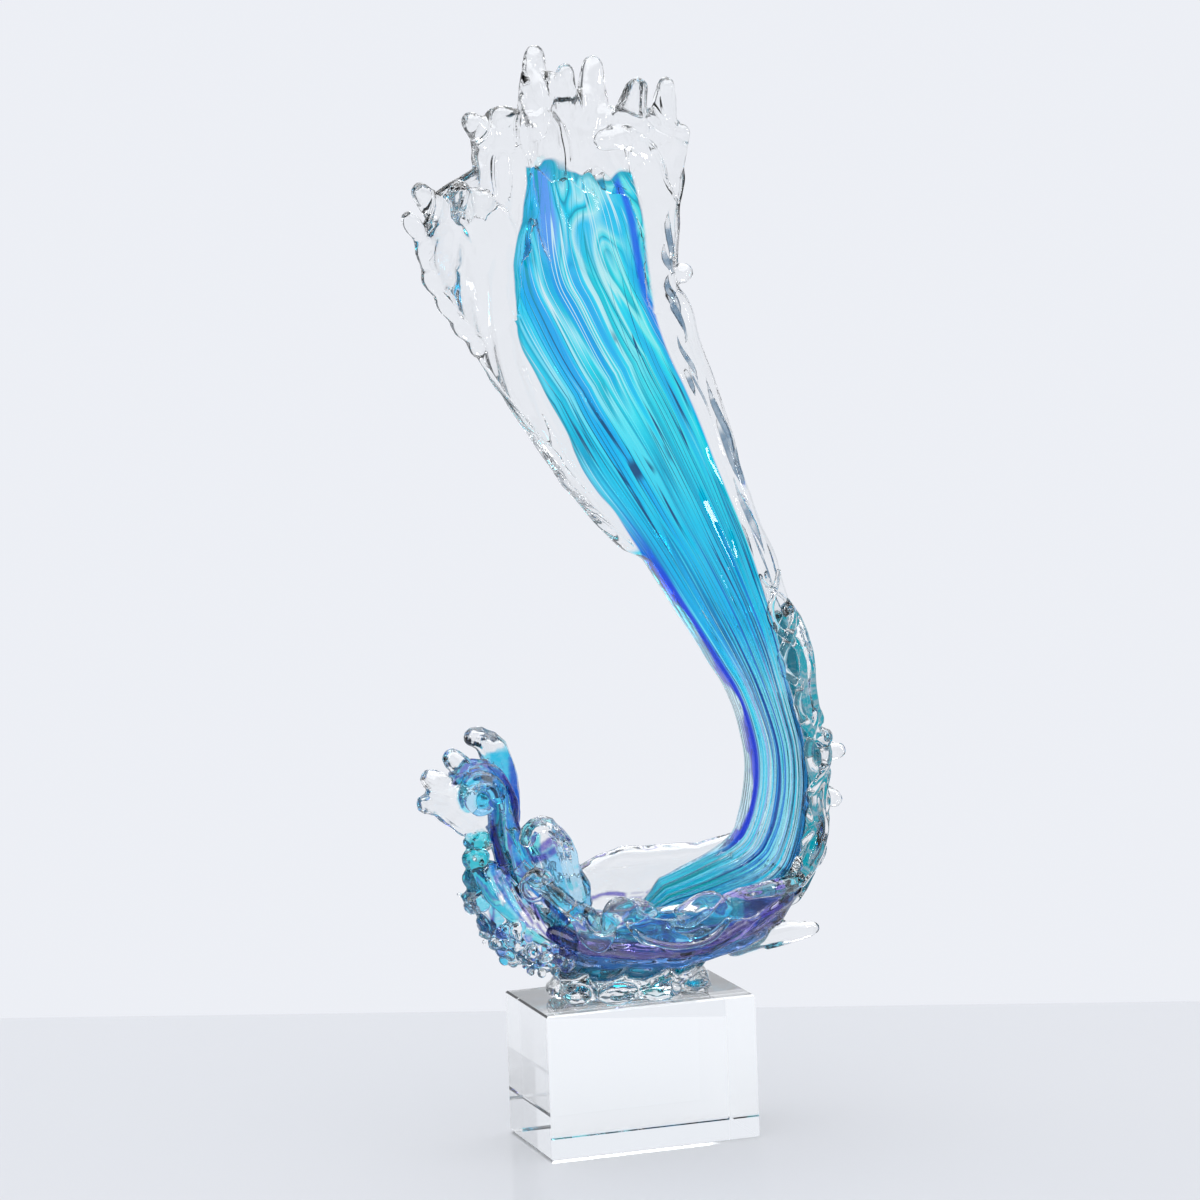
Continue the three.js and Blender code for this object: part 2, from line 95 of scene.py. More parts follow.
lens = bpy.data.cameras.new("photo_lens")
lens.lens = lens_length
lens.sensor_width = sensor_width
lens.clip_end = 50.0
camera = bpy.data.objects.new("photo_camera", lens)
heading = Matrix.Rotation(-view_heading, 4, "Z")
tilt = Matrix.Rotation(pi / 2 - view_tilt, 4, "X")
roll = Matrix.Rotation(view_roll, 4, "Z")
camera_turn = heading @ tilt @ roll
camera.matrix_world = Matrix.Translation(camera_spot) @ camera_turn
scene.collection.objects.link(camera)
scene.camera = camera
print("camera stands", round(camera_spot.length, 2), "m from the block")

# %% [markdown]
# ## Node helpers
# Materials and the world are node trees. A few small helpers keep them readable: add makes a node and
# wires it, and sums does any sum on values. Times, minus and most are the three sums that come up
# again and again. Mix blends two colours, fade eases a value from 0 to 1, and ramp picks a colour for
# a value.

# %% Node helpers
def add(tree, kind, inputs=None, **settings):
    made = tree.nodes.new("ShaderNode" + kind)
    for name, value in settings.items():
        setattr(made, name, value)
    for name, value in (inputs or {}).items():
        if isinstance(value, bpy.types.NodeSocket):
            tree.links.new(value, made.inputs[name])
        else:
            made.inputs[name].default_value = value
    return made


def sums(tree, operation, first, second=0.0, third=0.0):
    return add(tree, "Math", {0: first, 1: second, 2: third}, operation=operation).outputs[0]


def times(tree, first, second):
    return sums(tree, "MULTIPLY", first, second)


def minus(tree, first, second):
    return sums(tree, "SUBTRACT", first, second)


def most(tree, first, second):
    return sums(tree, "MAXIMUM", first, second)


def mix(tree, factor, first, second, blend_type="MIX"):
    made = add(tree, "Mix", {0: factor, 6: first, 7: second}, data_type="RGBA", blend_type=blend_type)
    return made.outputs[2]


def fade(tree, value, start, end):
    span = {"Value": value, "From Min": start, "From Max": end}
    return add(tree, "MapRange", span, interpolation_type="SMOOTHSTEP").outputs["Result"]


def ramp(tree, value, stops):
    made = add(tree, "ValToRGB", {"Fac": value})
    elements = made.color_ramp.elements
    while len(elements) < len(stops):
        elements.new(0.5)
    for element, (place, color) in zip(elements, stops):
        element.position = place
        element.color = (*color, 1.0)
    return made.outputs["Color"]


print("node helpers ready")

# %% [markdown]
# ## Studio
# Clear glass on a pale ground shows only where it bends something dark into view, so a studio hangs
# dark flags between its soft boxes. Here the world is that studio. The camera sees a plain pale
# backdrop, and what the glass bends or mirrors is the same pale ground with a few dark flags.

# %% Directions of the studio
flag_spans = [(56, 80), (114, 130)]
flag_edge = 3
world = bpy.data.worlds.new("studio")
world.use_nodes = True
scene.world = world
tree = world.node_tree
tree.nodes.clear()
ray = add(tree, "LightPath")
bent_ray = ray.outputs["Is Transmission Ray"]
gaze = add(tree, "TexCoord").outputs["Generated"]
toward = add(tree, "SeparateXYZ", {"Vector": gaze})
azimuth = sums(tree, "ARCTAN2", toward.outputs["X"], toward.outputs["Y"])
side_turn = sums(tree, "ABSOLUTE", azimuth)
steepness = toward.outputs["Z"]
flags = 0.0
for near, far in flag_spans:
    rise = fade(tree, side_turn, radians(near - flag_edge), radians(near + flag_edge))
    fall = fade(tree, side_turn, radians(far + flag_edge), radians(far - flag_edge))
    flags = most(tree, flags, times(tree, rise, fall))
print("flags to the left and right:", 2 * len(flag_spans))

# %% [markdown]
# Only rays that pass glass or mirror off it meet the flags. Rays bent by the glass also find a soft
# dark ceiling. Rays mirrored by it find the dark room behind the camera and a bright panel overhead,
# which gives the long pale highlights on top. The Light Path node tells these rays apart.

# %% Light of the studio
backdrop_color = (0.845, 0.865, 0.915, 1.0)
flag_color = (0.05, 0.06, 0.07, 1.0)
overhead_color = (4.0, 4.0, 4.0, 1.0)
room_from = 138
room_edge = 6
room_foot = (0.30, 0.18)
ceiling_span = (0.72, 0.86)
ceiling_share = 0.6
overhead_span = (0.50, 0.70)
through_glass = most(tree, bent_ray, ray.outputs["Is Glossy Ray"])
mirrored = minus(tree, through_glass, bent_ray)
room = fade(tree, side_turn, radians(room_from - room_edge), radians(room_from + room_edge))
room = times(tree, room, mirrored)
room = times(tree, room, minus(tree, 1.0, fade(tree, steepness, *room_foot)))
ceiling = times(tree, fade(tree, steepness, *ceiling_span), ceiling_share)
ceiling_flag = times(tree, ceiling, bent_ray)
overhead = times(tree, fade(tree, steepness, *overhead_span), mirrored)
dark = most(tree, most(tree, flags, ceiling_flag), room)
studio = mix(tree, dark, backdrop_color, flag_color)
studio = mix(tree, overhead, studio, overhead_color)
light = mix(tree, through_glass, backdrop_color, studio)
seen = mix(tree, ray.outputs["Is Camera Ray"], light, backdrop_color)
background = add(tree, "Background", {"Color": seen, "Strength": 1.0})
add(tree, "OutputWorld", {"Surface": background.outputs["Background"]})
print("dark room from", room_from, "degrees on")

# %% [markdown]
# The sculpture stands on a plain pale table with a straight far edge. Two pixels on that edge were
# read off, and the ray through each is followed down to the table's height. A grid laid along the
# line between them keeps the edge where it was seen.

# %% Floor
table_edge_pixels = [(0, 1018), (1200, 1001)]
floor_reach = 4.0
floor_drop = 0.1 * mm
floor_cells = 8


def floor_point(pixel):
    focal = lens_length / sensor_width * photo_pixels
    across, down = (value - photo_pixels / 2 for value in pixel)
    look = camera_turn.to_3x3() @ Vector((across / focal, -down / focal, -1))
    return camera_spot - look * (camera_spot.z / look.z)


far_left, far_right = (floor_point(pixel) for pixel in table_edge_pixels)
edge_along = (far_right - far_left).normalized()
edge_near = edge_along.cross(Vector((0, 0, 1)))
sheet = bmesh.new()
bmesh.ops.create_grid(sheet, x_segments=floor_cells, y_segments=floor_cells, size=floor_reach)
for vert in sheet.verts:
    place = far_left + edge_along * vert.co.x + edge_near * (vert.co.y + floor_reach)
    vert.co = Vector((place.x, place.y, -floor_drop))
bmesh.ops.recalc_face_normals(sheet, faces=sheet.faces)
floor_mesh = bpy.data.meshes.new("table_top")
sheet.to_mesh(floor_mesh)
sheet.free()
floor = bpy.data.objects.new("table_top", floor_mesh)
scene.collection.objects.link(floor)
print("table points:", len(floor_mesh.vertices))

# %% [markdown]
# The table top is smooth, so it mirrors the block a little. It also gives back some light to rays
# that have passed glass: a small glow for those rays alone keeps the clear block pale, and costs far
# less than letting the renderer find that light by chance.

# %% Table finish
table_color = (0.90, 0.905, 0.915, 1.0)
table_roughness = 0.06
glow_color = (1.0, 0.97, 0.93, 1.0)
glow_strength = 0.15
table = bpy.data.materials.new("pale_table")
table.use_nodes = True
tree = table.node_tree
shader = tree.nodes["Principled BSDF"]
shader.inputs["Base Color"].default_value = table_color
shader.inputs["Roughness"].default_value = table_roughness
shader.inputs["Emission Color"].default_value = glow_color
through = add(tree, "LightPath").outputs["Is Transmission Ray"]
tree.links.new(times(tree, through, glow_strength), shader.inputs["Emission Strength"])
floor_mesh.materials.append(table)
print("table edge lies", round(far_left.y, 3), "to", round(far_right.y, 3), "m back")

# %% [markdown]
# Polished glass shows a lamp as a highlight of the lamp's own shape. Small soft boxes give narrow,
# crisp highlights, where large ones would wash the colours out. The camera and the table don't see
# them: only the glass does.

# %% Soft boxes
def soft_box(name, place, target, size, watts):
    lamp = bpy.data.lights.new(name, "AREA")
    lamp.shape = "RECTANGLE"
    lamp.size, lamp.size_y = size
    lamp.energy = watts
    box = bpy.data.objects.new(name, lamp)
    aim = (Vector(target) - Vector(place)).to_track_quat("-Z", "Y").to_matrix().to_4x4()
    box.matrix_world = Matrix.Translation(place) @ aim
    box.visible_camera = False
    box.visible_diffuse = False
    scene.collection.objects.link(box)


middle = (0.0, 0.0, 0.32)
soft_box("left_box", (-1.3, -0.9, 0.9), middle, (0.14, 0.45), 4)
soft_box("right_box", (1.2, -0.7, 0.8), middle, (0.12, 0.40), 2.5)
soft_box("back_box", (0.5, 1.4, 1.2), middle, (0.30, 0.20), 2)
print("three soft boxes")

# %% [markdown]
# ## Glass finishes
# Glass takes its colour from the metal oxides melted into it. A shader can tint light in the body of
# the glass or where it passes the skin. The skin is used here, because the colour can then follow
# the drawn-out streaks. The skin is not quite even, so a faint ripple bends the highlights.

# %% Tints
tints = {
    "clear": (0.95, 0.957, 0.957),
    "aqua": (0.05, 0.60, 0.86),
    "turquoise": (0.03, 0.58, 0.68),
    "teal": (0.0, 0.15, 0.22),
    "sky": (0.28, 0.66, 0.95),
    "cobalt": (0.02, 0.13, 0.62),
    "violet": (0.05, 0.035, 0.36),
    "indigo": (0.02, 0.015, 0.16),
    "deep": (0.0, 0.07, 0.16),
    "steel": (0.16, 0.28, 0.40),
}
print("tints:", ", ".join(tints))

# %% [markdown]
# Glass that chills in air keeps a faint ripple, and here and there a breath of haze. Both come from
# noise in one node group, which every glass finish shares. New_glass makes a clear material with that
# ripple as its bump, ready for a colour.

# %% Glass tools
glass_ior = 1.47
breath_scale = 35.0
breath_haze = 0.006


def opaque(color):
    return (*color, 1.0)


def ripple_group():
    group = bpy.data.node_groups.new("chill_ripple", "ShaderNodeTree")
    group.interface.new_socket("Size", in_out="INPUT", socket_type="NodeSocketFloat")
    group.interface.new_socket("Height", in_out="OUTPUT", socket_type="NodeSocketFloat")
    group.interface.new_socket("Roughness", in_out="OUTPUT", socket_type="NodeSocketFloat")
    enter = group.nodes.new("NodeGroupInput")
    leave = group.nodes.new("NodeGroupOutput")
    place = add(group, "TexCoord").outputs["Object"]
    wave = add(group, "TexNoise", {"Vector": place, "Scale": enter.outputs["Size"], "Detail": 1.0})
    breath = add(group, "TexNoise", {"Vector": place, "Scale": breath_scale, "Detail": 2.0})
    group.links.new(wave.outputs["Fac"], leave.inputs["Height"])
    haze = add(group, "MapRange", {"Value": breath.outputs["Fac"], "To Min": 0.0, "To Max": breath_haze})
    group.links.new(haze.outputs["Result"], leave.inputs["Roughness"])
    return group


chill_ripple = ripple_group()


def new_glass(name, ripple_size, ripple_depth):
    material = bpy.data.materials.new(name)
    material.use_nodes = True
    tree = material.node_tree
    shader = tree.nodes["Principled BSDF"]
    shader.inputs["Transmission Weight"].default_value = 1.0
    shader.inputs["IOR"].default_value = glass_ior
    chill = tree.nodes.new("ShaderNodeGroup")
    chill.node_tree = chill_ripple
    chill.inputs["Size"].default_value = ripple_size
    tree.links.new(chill.outputs["Roughness"], shader.inputs["Roughness"])
    bump = add(tree, "Bump", {"Height": chill.outputs["Height"], "Strength": 1.0, "Distance": ripple_depth})
    tree.links.new(bump.outputs["Normal"], shader.inputs["Normal"])
    return material, tree, shader


print("glass tools ready")

# %% [markdown]
# The column's glass was drawn out, so its colours lie in streaks that run with the flow. The finish
# reads three numbers that the column carries at every point: how far across it lies, how far along,
# and whether it is the front or the back skin. Noise stretched along the flow then gives streaks
# without any picture of them. They sway a little, and lean to the left in the crest.

# %% Flow of the streaks
streak_lean = 1.2
lean_from = 0.72
streak_sway = 0.10
sway_scale = (2.5, 6.0)


def flow_spot(tree, lane, along, scale):
    x = times(tree, lane, scale[0])
    y = times(tree, along, scale[1])
    return add(tree, "CombineXYZ", {"X": x, "Y": y}).outputs["Vector"]


def flow_noise(tree, lane, along, scale, detail=0.0):
    spot = flow_spot(tree, lane, along, scale)
    return add(tree, "TexNoise", {"Vector": spot, "Scale": 1.0, "Detail": detail}).outputs["Fac"]


def drawn_flow(tree, lane, along):
    rise = most(tree, minus(tree, along, lean_from), 0.0)
    leaned = sums(tree, "MULTIPLY_ADD", rise, streak_lean, lane)
    sway = flow_noise(tree, leaned, along, sway_scale, 1.0)
    return sums(tree, "MULTIPLY_ADD", minus(tree, sway, 0.5), streak_sway, leaned)


print("streaks lean by", streak_lean)

# %% [markdown]
# The streaks change along the column: deep cyan on the trough's floor, cords of pale blue, cobalt and
# violet at the neck, broad turquoise and white above, and blue patches at the crown. Each stretch has
# a ramp of its own, a list of places from 0 to 1 with the colour found there. The back skin has one
# broad pale tint, so that light comes through.

# %% Colours of the streaks
floor_colors = [
    (0.10, (0.00, 0.28, 0.44)),
    (0.30, (0.00, 0.64, 0.60)),
    (0.50, (0.04, 0.80, 0.96)),
    (0.70, (0.30, 0.92, 0.92)),
    (0.90, (0.00, 0.54, 0.86)),
]
neck_colors = [
    (0.04, (0.00, 0.12, 0.46)),
    (0.13, (0.90, 1.00, 1.00)),
    (0.22, (0.10, 0.76, 1.00)),
    (0.32, (0.50, 0.97, 1.00)),
    (0.41, (0.00, 0.30, 0.82)),
    (0.50, (0.98, 1.00, 1.00)),
    (0.59, (0.06, 0.86, 1.00)),
    (0.68, (0.66, 0.72, 1.00)),
    (0.76, (0.00, 0.14, 0.40)),
    (0.85, (0.70, 0.98, 1.00)),
    (0.95, (0.08, 0.82, 1.00)),
]
upper_colors = [
    (0.06, (0.02, 0.52, 0.94)),
    (0.22, (0.02, 0.66, 0.98)),
    (0.33, (0.04, 0.84, 1.00)),
    (0.41, (0.80, 0.98, 1.00)),
    (0.51, (0.60, 0.95, 1.00)),
    (0.56, (0.00, 0.58, 0.72)),
    (0.66, (0.00, 0.80, 0.92)),
    (0.76, (0.50, 0.95, 1.00)),
    (0.86, (0.00, 0.66, 0.86)),
    (0.96, (0.00, 0.46, 0.92)),
]
crown_colors = [
    (0.08, (0.30, 0.46, 0.99)),
    (0.24, (0.16, 0.72, 0.99)),
    (0.31, (0.00, 0.42, 0.60)),
    (0.35, (0.20, 0.84, 0.96)),
    (0.46, (0.62, 0.94, 0.99)),
    (0.53, (0.02, 0.76, 0.98)),
    (0.58, (0.00, 0.40, 0.58)),
    (0.61, (0.06, 0.80, 0.92)),
    (0.72, (0.62, 0.94, 0.99)),
    (0.85, (0.04, 0.66, 0.98)),
]
band_colors = [
    (0.02, (0.36, 0.88, 1.00)),
    (0.22, (0.60, 0.95, 1.00)),
    (0.42, (1.00, 1.00, 1.00)),
    (0.66, (0.85, 1.00, 0.98)),
    (0.90, (0.45, 1.00, 0.94)),
]
depth_colors = [
    (0.36, (1.00, 1.00, 1.00)),
    (0.44, (0.10, 0.74, 0.92)),
    (0.55, (0.20, 0.86, 0.95)),
    (0.70, (1.00, 1.00, 1.00)),
]
back_colors = [
    (0.04, (0.14, 0.66, 0.80)),
    (0.18, (0.50, 0.88, 1.00)),
    (0.32, (0.75, 1.00, 1.00)),
    (0.44, (0.06, 0.80, 0.98)),
    (0.54, (0.00, 0.64, 0.94)),
    (0.67, (0.05, 0.92, 1.00)),
    (0.80, (0.95, 1.00, 1.00)),
    (0.95, (0.70, 0.98, 1.00)),
]
streak_gamma = 2.2
# The next colour is for the painted shade lines along the flow.
painted_shade_color = (0.0, 0.12, 0.28, 1.0)
shore_color = (0.0, 0.46, 0.60, 1.0)
vein_color = (0.01, 0.16, 0.90, 1.0)
edge_color = (0.06, 0.10, 0.80, 1.0)
# The next colour is for the painted highlight lines along the flow.
painted_highlight_color = (0.80, 0.97, 1.0, 1.0)
rim_color = (0.0, 0.38, 0.78, 1.0)
clear_color = opaque(tints["clear"])
print("colours at the neck:", len(neck_colors))

# %% [markdown]
# Two more patterns are drawn along the flow. The cells of a Voronoi texture hold one even value each,
# which suits the cords of the neck. A contour is where smooth noise crosses one level: a thin line of
# even width that wanders like a thread, which a wave texture would repeat too evenly.

# %% Cords and threads
contour_core = 0.25


def flow_cords(tree, lane, along, scale):
    spot = flow_spot(tree, lane, along, scale)
    made = add(tree, "TexVoronoi", {"Vector": spot, "Scale": 1.0}, feature="F1", voronoi_dimensions="2D")
    return add(tree, "SeparateColor", {"Color": made.outputs["Color"]}).outputs["Red"]


def contour(tree, lane, along, scale, level, width):
    away = minus(tree, flow_noise(tree, lane, along, scale), level)
    return fade(tree, sums(tree, "ABSOLUTE", away), width, contour_core * width)


print("cords and threads ready")

# %% [markdown]
# A streak's colour is picked from the ramp of its stretch, and neighbouring stretches fade into each
# other. Two more ramps, one across the column and one along it, then deepen the colour at the sides
# and halfway up, where the real glass looks deepest.

# %% Colours along the flow
fine_scale = (26.0, 2.0)
grain_scale = (4.5, 1.8)
patch_scale = (3.5, 8.0)
cord_scale = (19.0, 2.2)
fine_in_cords = 0.12
fine_in_grain = 0.10
floor_zone = (0.14, 0.04)
upper_zone = (0.42, 0.60)
crown_zone = (0.84, 0.94)
band_zone = (0.35, 0.55)


def spread_noise(tree, drawn, along, scale, low, high):
    return fade(tree, flow_noise(tree, drawn, along, scale, 1.0), low, high)


def blend(tree, share, first, second):
    return add(tree, "Mix", {0: share, 2: first, 3: second}).outputs[0]


def flow_colors(tree, lane, along, drawn):
    fine = spread_noise(tree, drawn, along, fine_scale, 0.35, 0.65)
    grain = spread_noise(tree, drawn, along, grain_scale, 0.26, 0.74)
    patch = spread_noise(tree, drawn, along, patch_scale, 0.24, 0.76)
    low_pick = blend(tree, fine_in_cords, flow_cords(tree, drawn, along, cord_scale), fine)
    high_pick = blend(tree, fine_in_grain, grain, fine)
    neck_tint = ramp(tree, low_pick, neck_colors)
    floor_tint = ramp(tree, low_pick, floor_colors)
    color = mix(tree, fade(tree, along, *floor_zone), neck_tint, floor_tint)
    color = mix(tree, fade(tree, along, *upper_zone), color, ramp(tree, high_pick, upper_colors))
    color = mix(tree, fade(tree, along, *crown_zone), color, ramp(tree, patch, crown_colors))
    color = mix(tree, fade(tree, along, *band_zone), color, ramp(tree, lane, band_colors), "MULTIPLY")
    return mix(tree, 1.0, color, ramp(tree, along, depth_colors), "MULTIPLY")


print("stretches meet at", floor_zone, upper_zone, crown_zone)

# %% [markdown]
# Between the streaks run thin dark lines and pale lines. The dark lines are painted shade: they stand
# in for the dark lines that ribbed glass shows where it bends the dark flags into view. The pale lines
# are painted highlights. Each is a contour, shown only where a broad patchy noise lets it through, so
# that lines start and stop. The blue edges of the column and one slanting vein near the top are drawn
# from the flow numbers alone.

# %% Painted lines and veins
patchy_scale = (3.0, 9.0)
shade_line_scale = (15.0, 1.6)
more_shade_scale = (21.0, 3.2)
highlight_line_scale = (17.0, 1.3)
painted_lines_zone = (0.25, 0.45)
vein_slant = 0.45
vein_place = 1.325
vein_share = 0.9


def painted_flow_lines(tree, lane, along, drawn, color):
    patchy = flow_noise(tree, drawn, along, patchy_scale)
    above = fade(tree, along, *painted_lines_zone)
    # Painted shade: dark lines that stand in for the shade the ribbed glass bends into view.
    painted_shade_lines = contour(tree, drawn, along, shade_line_scale, 0.46, 0.028)
    painted_shade_lines = times(tree, painted_shade_lines, fade(tree, patchy, 0.34, 0.54))
    more_painted_shade = contour(tree, lane, along, more_shade_scale, 0.50, 0.025)
    more_painted_shade = times(tree, more_painted_shade, fade(tree, patchy, 0.52, 0.62))
    painted_shade_lines = most(tree, painted_shade_lines, more_painted_shade)
    # Painted highlights: pale lines along the flow.
    painted_highlight_lines = contour(tree, drawn, along, highlight_line_scale, 0.54, 0.024)
    painted_highlight_lines = times(tree, painted_highlight_lines, fade(tree, patchy, 0.60, 0.40))
    shade_line_tint = mix(tree, fade(tree, along, 0.74, 0.9), painted_shade_color, shore_color)
    color = mix(tree, times(tree, painted_shade_lines, above), color, shade_line_tint)
    return mix(tree, times(tree, painted_highlight_lines, above), color, painted_highlight_color)


def flow_edges(tree, lane, along, color):
    left_edge = times(tree, fade(tree, lane, 0.065, 0.02), fade(tree, along, 0.62, 0.5))
    left_edge = times(tree, left_edge, fade(tree, along, 0.08, 0.16))
    color = mix(tree, left_edge, color, edge_color)
    right_low = times(tree, fade(tree, lane, 0.86, 0.94), fade(tree, along, 0.42, 0.3))
    color = mix(tree, right_low, color, rim_color)
    slant = minus(tree, sums(tree, "MULTIPLY_ADD", along, vein_slant, lane), vein_place)
    vein = fade(tree, sums(tree, "ABSOLUTE", slant), 0.05, 0.01)
    vein = times(tree, vein, fade(tree, along, 0.66, 0.84))
    return mix(tree, times(tree, vein, vein_share), color, vein_color)


print("threads and veins ready")

# %% [markdown]
# The colour ends in a torn line near the tips and the left side, with a darker shore along it, and
# beyond that line the glass is clear. Front and back skin are told apart by the third flow number.
# Broad folds too shallow to model are left to the bump.

# %% Torn rims and folds
tear_scale = (3.5, 12.0)
tear_along = 0.09
tear_across = 0.16
shore_share = 0.7
swell_scale = (6.0, 2.6)
swell_share = 1.5
bend_scale = (3.0, 7.0)
crease_share = 0.8


def flow_rims(tree, lane, along, face, color):
    tear = minus(tree, flow_noise(tree, lane, along, tear_scale, 1.0), 0.5)
    tip = sums(tree, "MULTIPLY_ADD", tear, tear_along, minus(tree, along, 0.006))
    side = sums(tree, "MULTIPLY_ADD", tear, tear_across, lane)
    shore = most(tree, fade(tree, tip, 0.980, 0.992), fade(tree, side, 0.0, -0.03))
    shore = times(tree, shore, fade(tree, along, 0.5, 0.7))
    color = mix(tree, times(tree, shore, shore_share), color, shore_color)
    color = add(tree, "Gamma", {"Color": color, "Gamma": streak_gamma}).outputs["Color"]
    left_rim = times(tree, fade(tree, lane, 0.10, 0.02), fade(tree, along, 0.42, 0.50))
    back = mix(tree, left_rim, ramp(tree, along, back_colors), clear_color)
    color = mix(tree, fade(tree, face, 0.5, -0.5), color, back)
    bare = most(tree, fade(tree, side, -0.035, -0.05), fade(tree, lane, 1.0, 1.02))
    bare = most(tree, fade(tree, tip, 0.994, 1.0), bare)
    return mix(tree, bare, color, clear_color)


def flow_folds(tree, along, drawn):
    swell = times(tree, flow_noise(tree, drawn, along, swell_scale), swell_share)
    folds = times(tree, swell, fade(tree, along, 0.25, 0.5))
    bend = minus(tree, flow_noise(tree, drawn, along, bend_scale), 0.5)
    crease = fade(tree, sums(tree, "ABSOLUTE", bend), 0.0, 0.05)
    crease_mask = times(tree, fade(tree, along, 0.86, 0.96), crease_share)
    return sums(tree, "MULTIPLY_ADD", crease, crease_mask, folds)


print("rims and folds ready")

# %% [markdown]
# The column's finish puts these steps together. It starts from the shared clear glass, reads the flow
# numbers from the mesh, and adds its folds on top of the ripple by chaining one bump into the next.

# %% Flow glass for the column
flow_ripple = (90.0, 0.3 * mm)
bump_height = 1.0 * mm


def flow_glass():
    material, tree, shader = new_glass("flow_glass", *flow_ripple)
    flow = add(tree, "Attribute", attribute_name="flow").outputs["Vector"]
    parts = add(tree, "SeparateXYZ", {"Vector": flow})
    lane, along, face = (parts.outputs[axis] for axis in "XYZ")
    drawn = drawn_flow(tree, lane, along)
    color = flow_colors(tree, lane, along, drawn)
    color = painted_flow_lines(tree, lane, along, drawn, color)
    color = flow_edges(tree, lane, along, color)
    color = flow_rims(tree, lane, along, face, color)
    tree.links.new(color, shader.inputs["Base Color"])
    ripples = shader.inputs["Normal"].links[0].from_socket
    folds = {"Height": flow_folds(tree, along, drawn), "Normal": ripples, "Distance": bump_height}
    bump = add(tree, "Bump", {**folds, "Strength": 1.0})
    tree.links.new(bump.outputs["Normal"], shader.inputs["Normal"])
    return material


flow_finish = flow_glass()
print("flow glass made")

# %% [markdown]
# The other bits were coloured one by one. Their finish reads the tint that each point of a fused skin
# carries, and lets thin swirls of it fade to clear, as colour does when it is twisted and drawn out.
# One finish then serves every fused piece.

# %% Swirl glass for the fused bits
swirl_ripple = (70.0, 0.15 * mm)
swirl_scale = (70.0, 70.0, 190.0)
swirl_share = 0.1


def swirl_glass():
    material, tree, shader = new_glass("swirl_glass", *swirl_ripple)
    tint = add(tree, "Attribute", attribute_name="tint").outputs["Color"]
    place = add(tree, "TexCoord").outputs["Object"]
    drawn = add(tree, "Mapping", {"Vector": place, "Scale": swirl_scale}).outputs["Vector"]
    swirl = add(tree, "TexNoise", {"Vector": drawn, "Scale": 1.0, "Detail": 2.0, "Distortion": 2.0})
    thin = fade(tree, swirl.outputs["Fac"], 0.5, 0.66)
    color = mix(tree, times(tree, thin, swirl_share), tint, clear_color)
    tree.links.new(color, shader.inputs["Base Color"])
    return material


swirl_finish = swirl_glass()
print("swirl glass made")

# %% [markdown]
# ## Fusing bits
# On the bench a hot bit is laid on the piece and the two melt into one. Booleans would leave a sharp
# seam, so the bits are copied, let out until they meet, and remeshed with voxels. A few rounds of
# smoothing then pull the seams into the soft fillets that hot glass has.

# %% Copies of the frame's bits
merge_reach = 0.002 * mm
slot_tints = {
    "clear_glass": "clear",
    "aqua_glass": "aqua",
    "cobalt_glass": "cobalt",
    "violet_glass": "violet",
}
slot_of = {entry["node"]: entry["material_slot"] for entry in frame["record"]["subparts"]}


def gather(name, swell=0.0):
    bit = bmesh.new()
    bit.from_mesh(nodes[name].data)
    bmesh.ops.remove_doubles(bit, verts=bit.verts, dist=merge_reach)
    bit.normal_update()
    for vert in bit.verts:
        vert.co += swell * vert.normal
    bit.verts.index_update()
    return bit


def like(*starts):
    return sorted(name for name in nodes if name.startswith(starts))


print("tail_spike merges to", len(gather("tail_spike").verts), "points")

# %% [markdown]
# Some steps work on all points of a mesh at once. Settle turns a piece's modifiers into plain mesh.
# Neighbour_mean gives each point the average of the points it shares an edge with, which smooths any
# value that the points carry.

# %% A mesh and its neighbours
def piece_from(bits, name):
    mesh = bpy.data.meshes.new(name)
    bits.to_mesh(mesh)
    bits.free()
    piece = bpy.data.objects.new(name, mesh)
    scene.collection.objects.link(piece)
    return piece


def settle(piece):
    view = piece.evaluated_get(bpy.context.evaluated_depsgraph_get())
    rough = piece.data
    piece.data = bpy.data.meshes.new_from_object(view)
    piece.data.name = piece.name
    piece.modifiers.clear()
    bpy.data.meshes.remove(rough)


def read(items, name, width=3):
    values = np.zeros(len(items) * width)
    items.foreach_get(name, values)
    return values.reshape(-1, width)


def neighbour_mean(mesh):
    edges = np.zeros(2 * len(mesh.edges), int)
    mesh.edges.foreach_get("vertices", edges)
    ends = np.concatenate([edges[0::2], edges[1::2]])
    others = np.concatenate([edges[1::2], edges[0::2]])
    size = len(mesh.vertices)
    count = np.maximum(np.bincount(ends, minlength=size), 1)

    def mean(values):
        averages = [np.bincount(ends, row[others], size) / count for row in values.T]
        return np.stack(averages, axis=1)

    return mean


def smooth_step(values, start, end):
    share = np.clip((values - start) / (end - start), 0, 1)
    return share * share * (3 - 2 * share)


print("mesh tools ready")

# %% [markdown]
# Hot glass is added in a few ways: a gather, a bead dropped on, a strand trailed on, or a ribbon that
# is pressed flat. HotBits collects such bits in one mesh and notes the tint of every face. Fuse melts
# them into one skin, and tint_at finds the tint of the bit nearest to a spot.

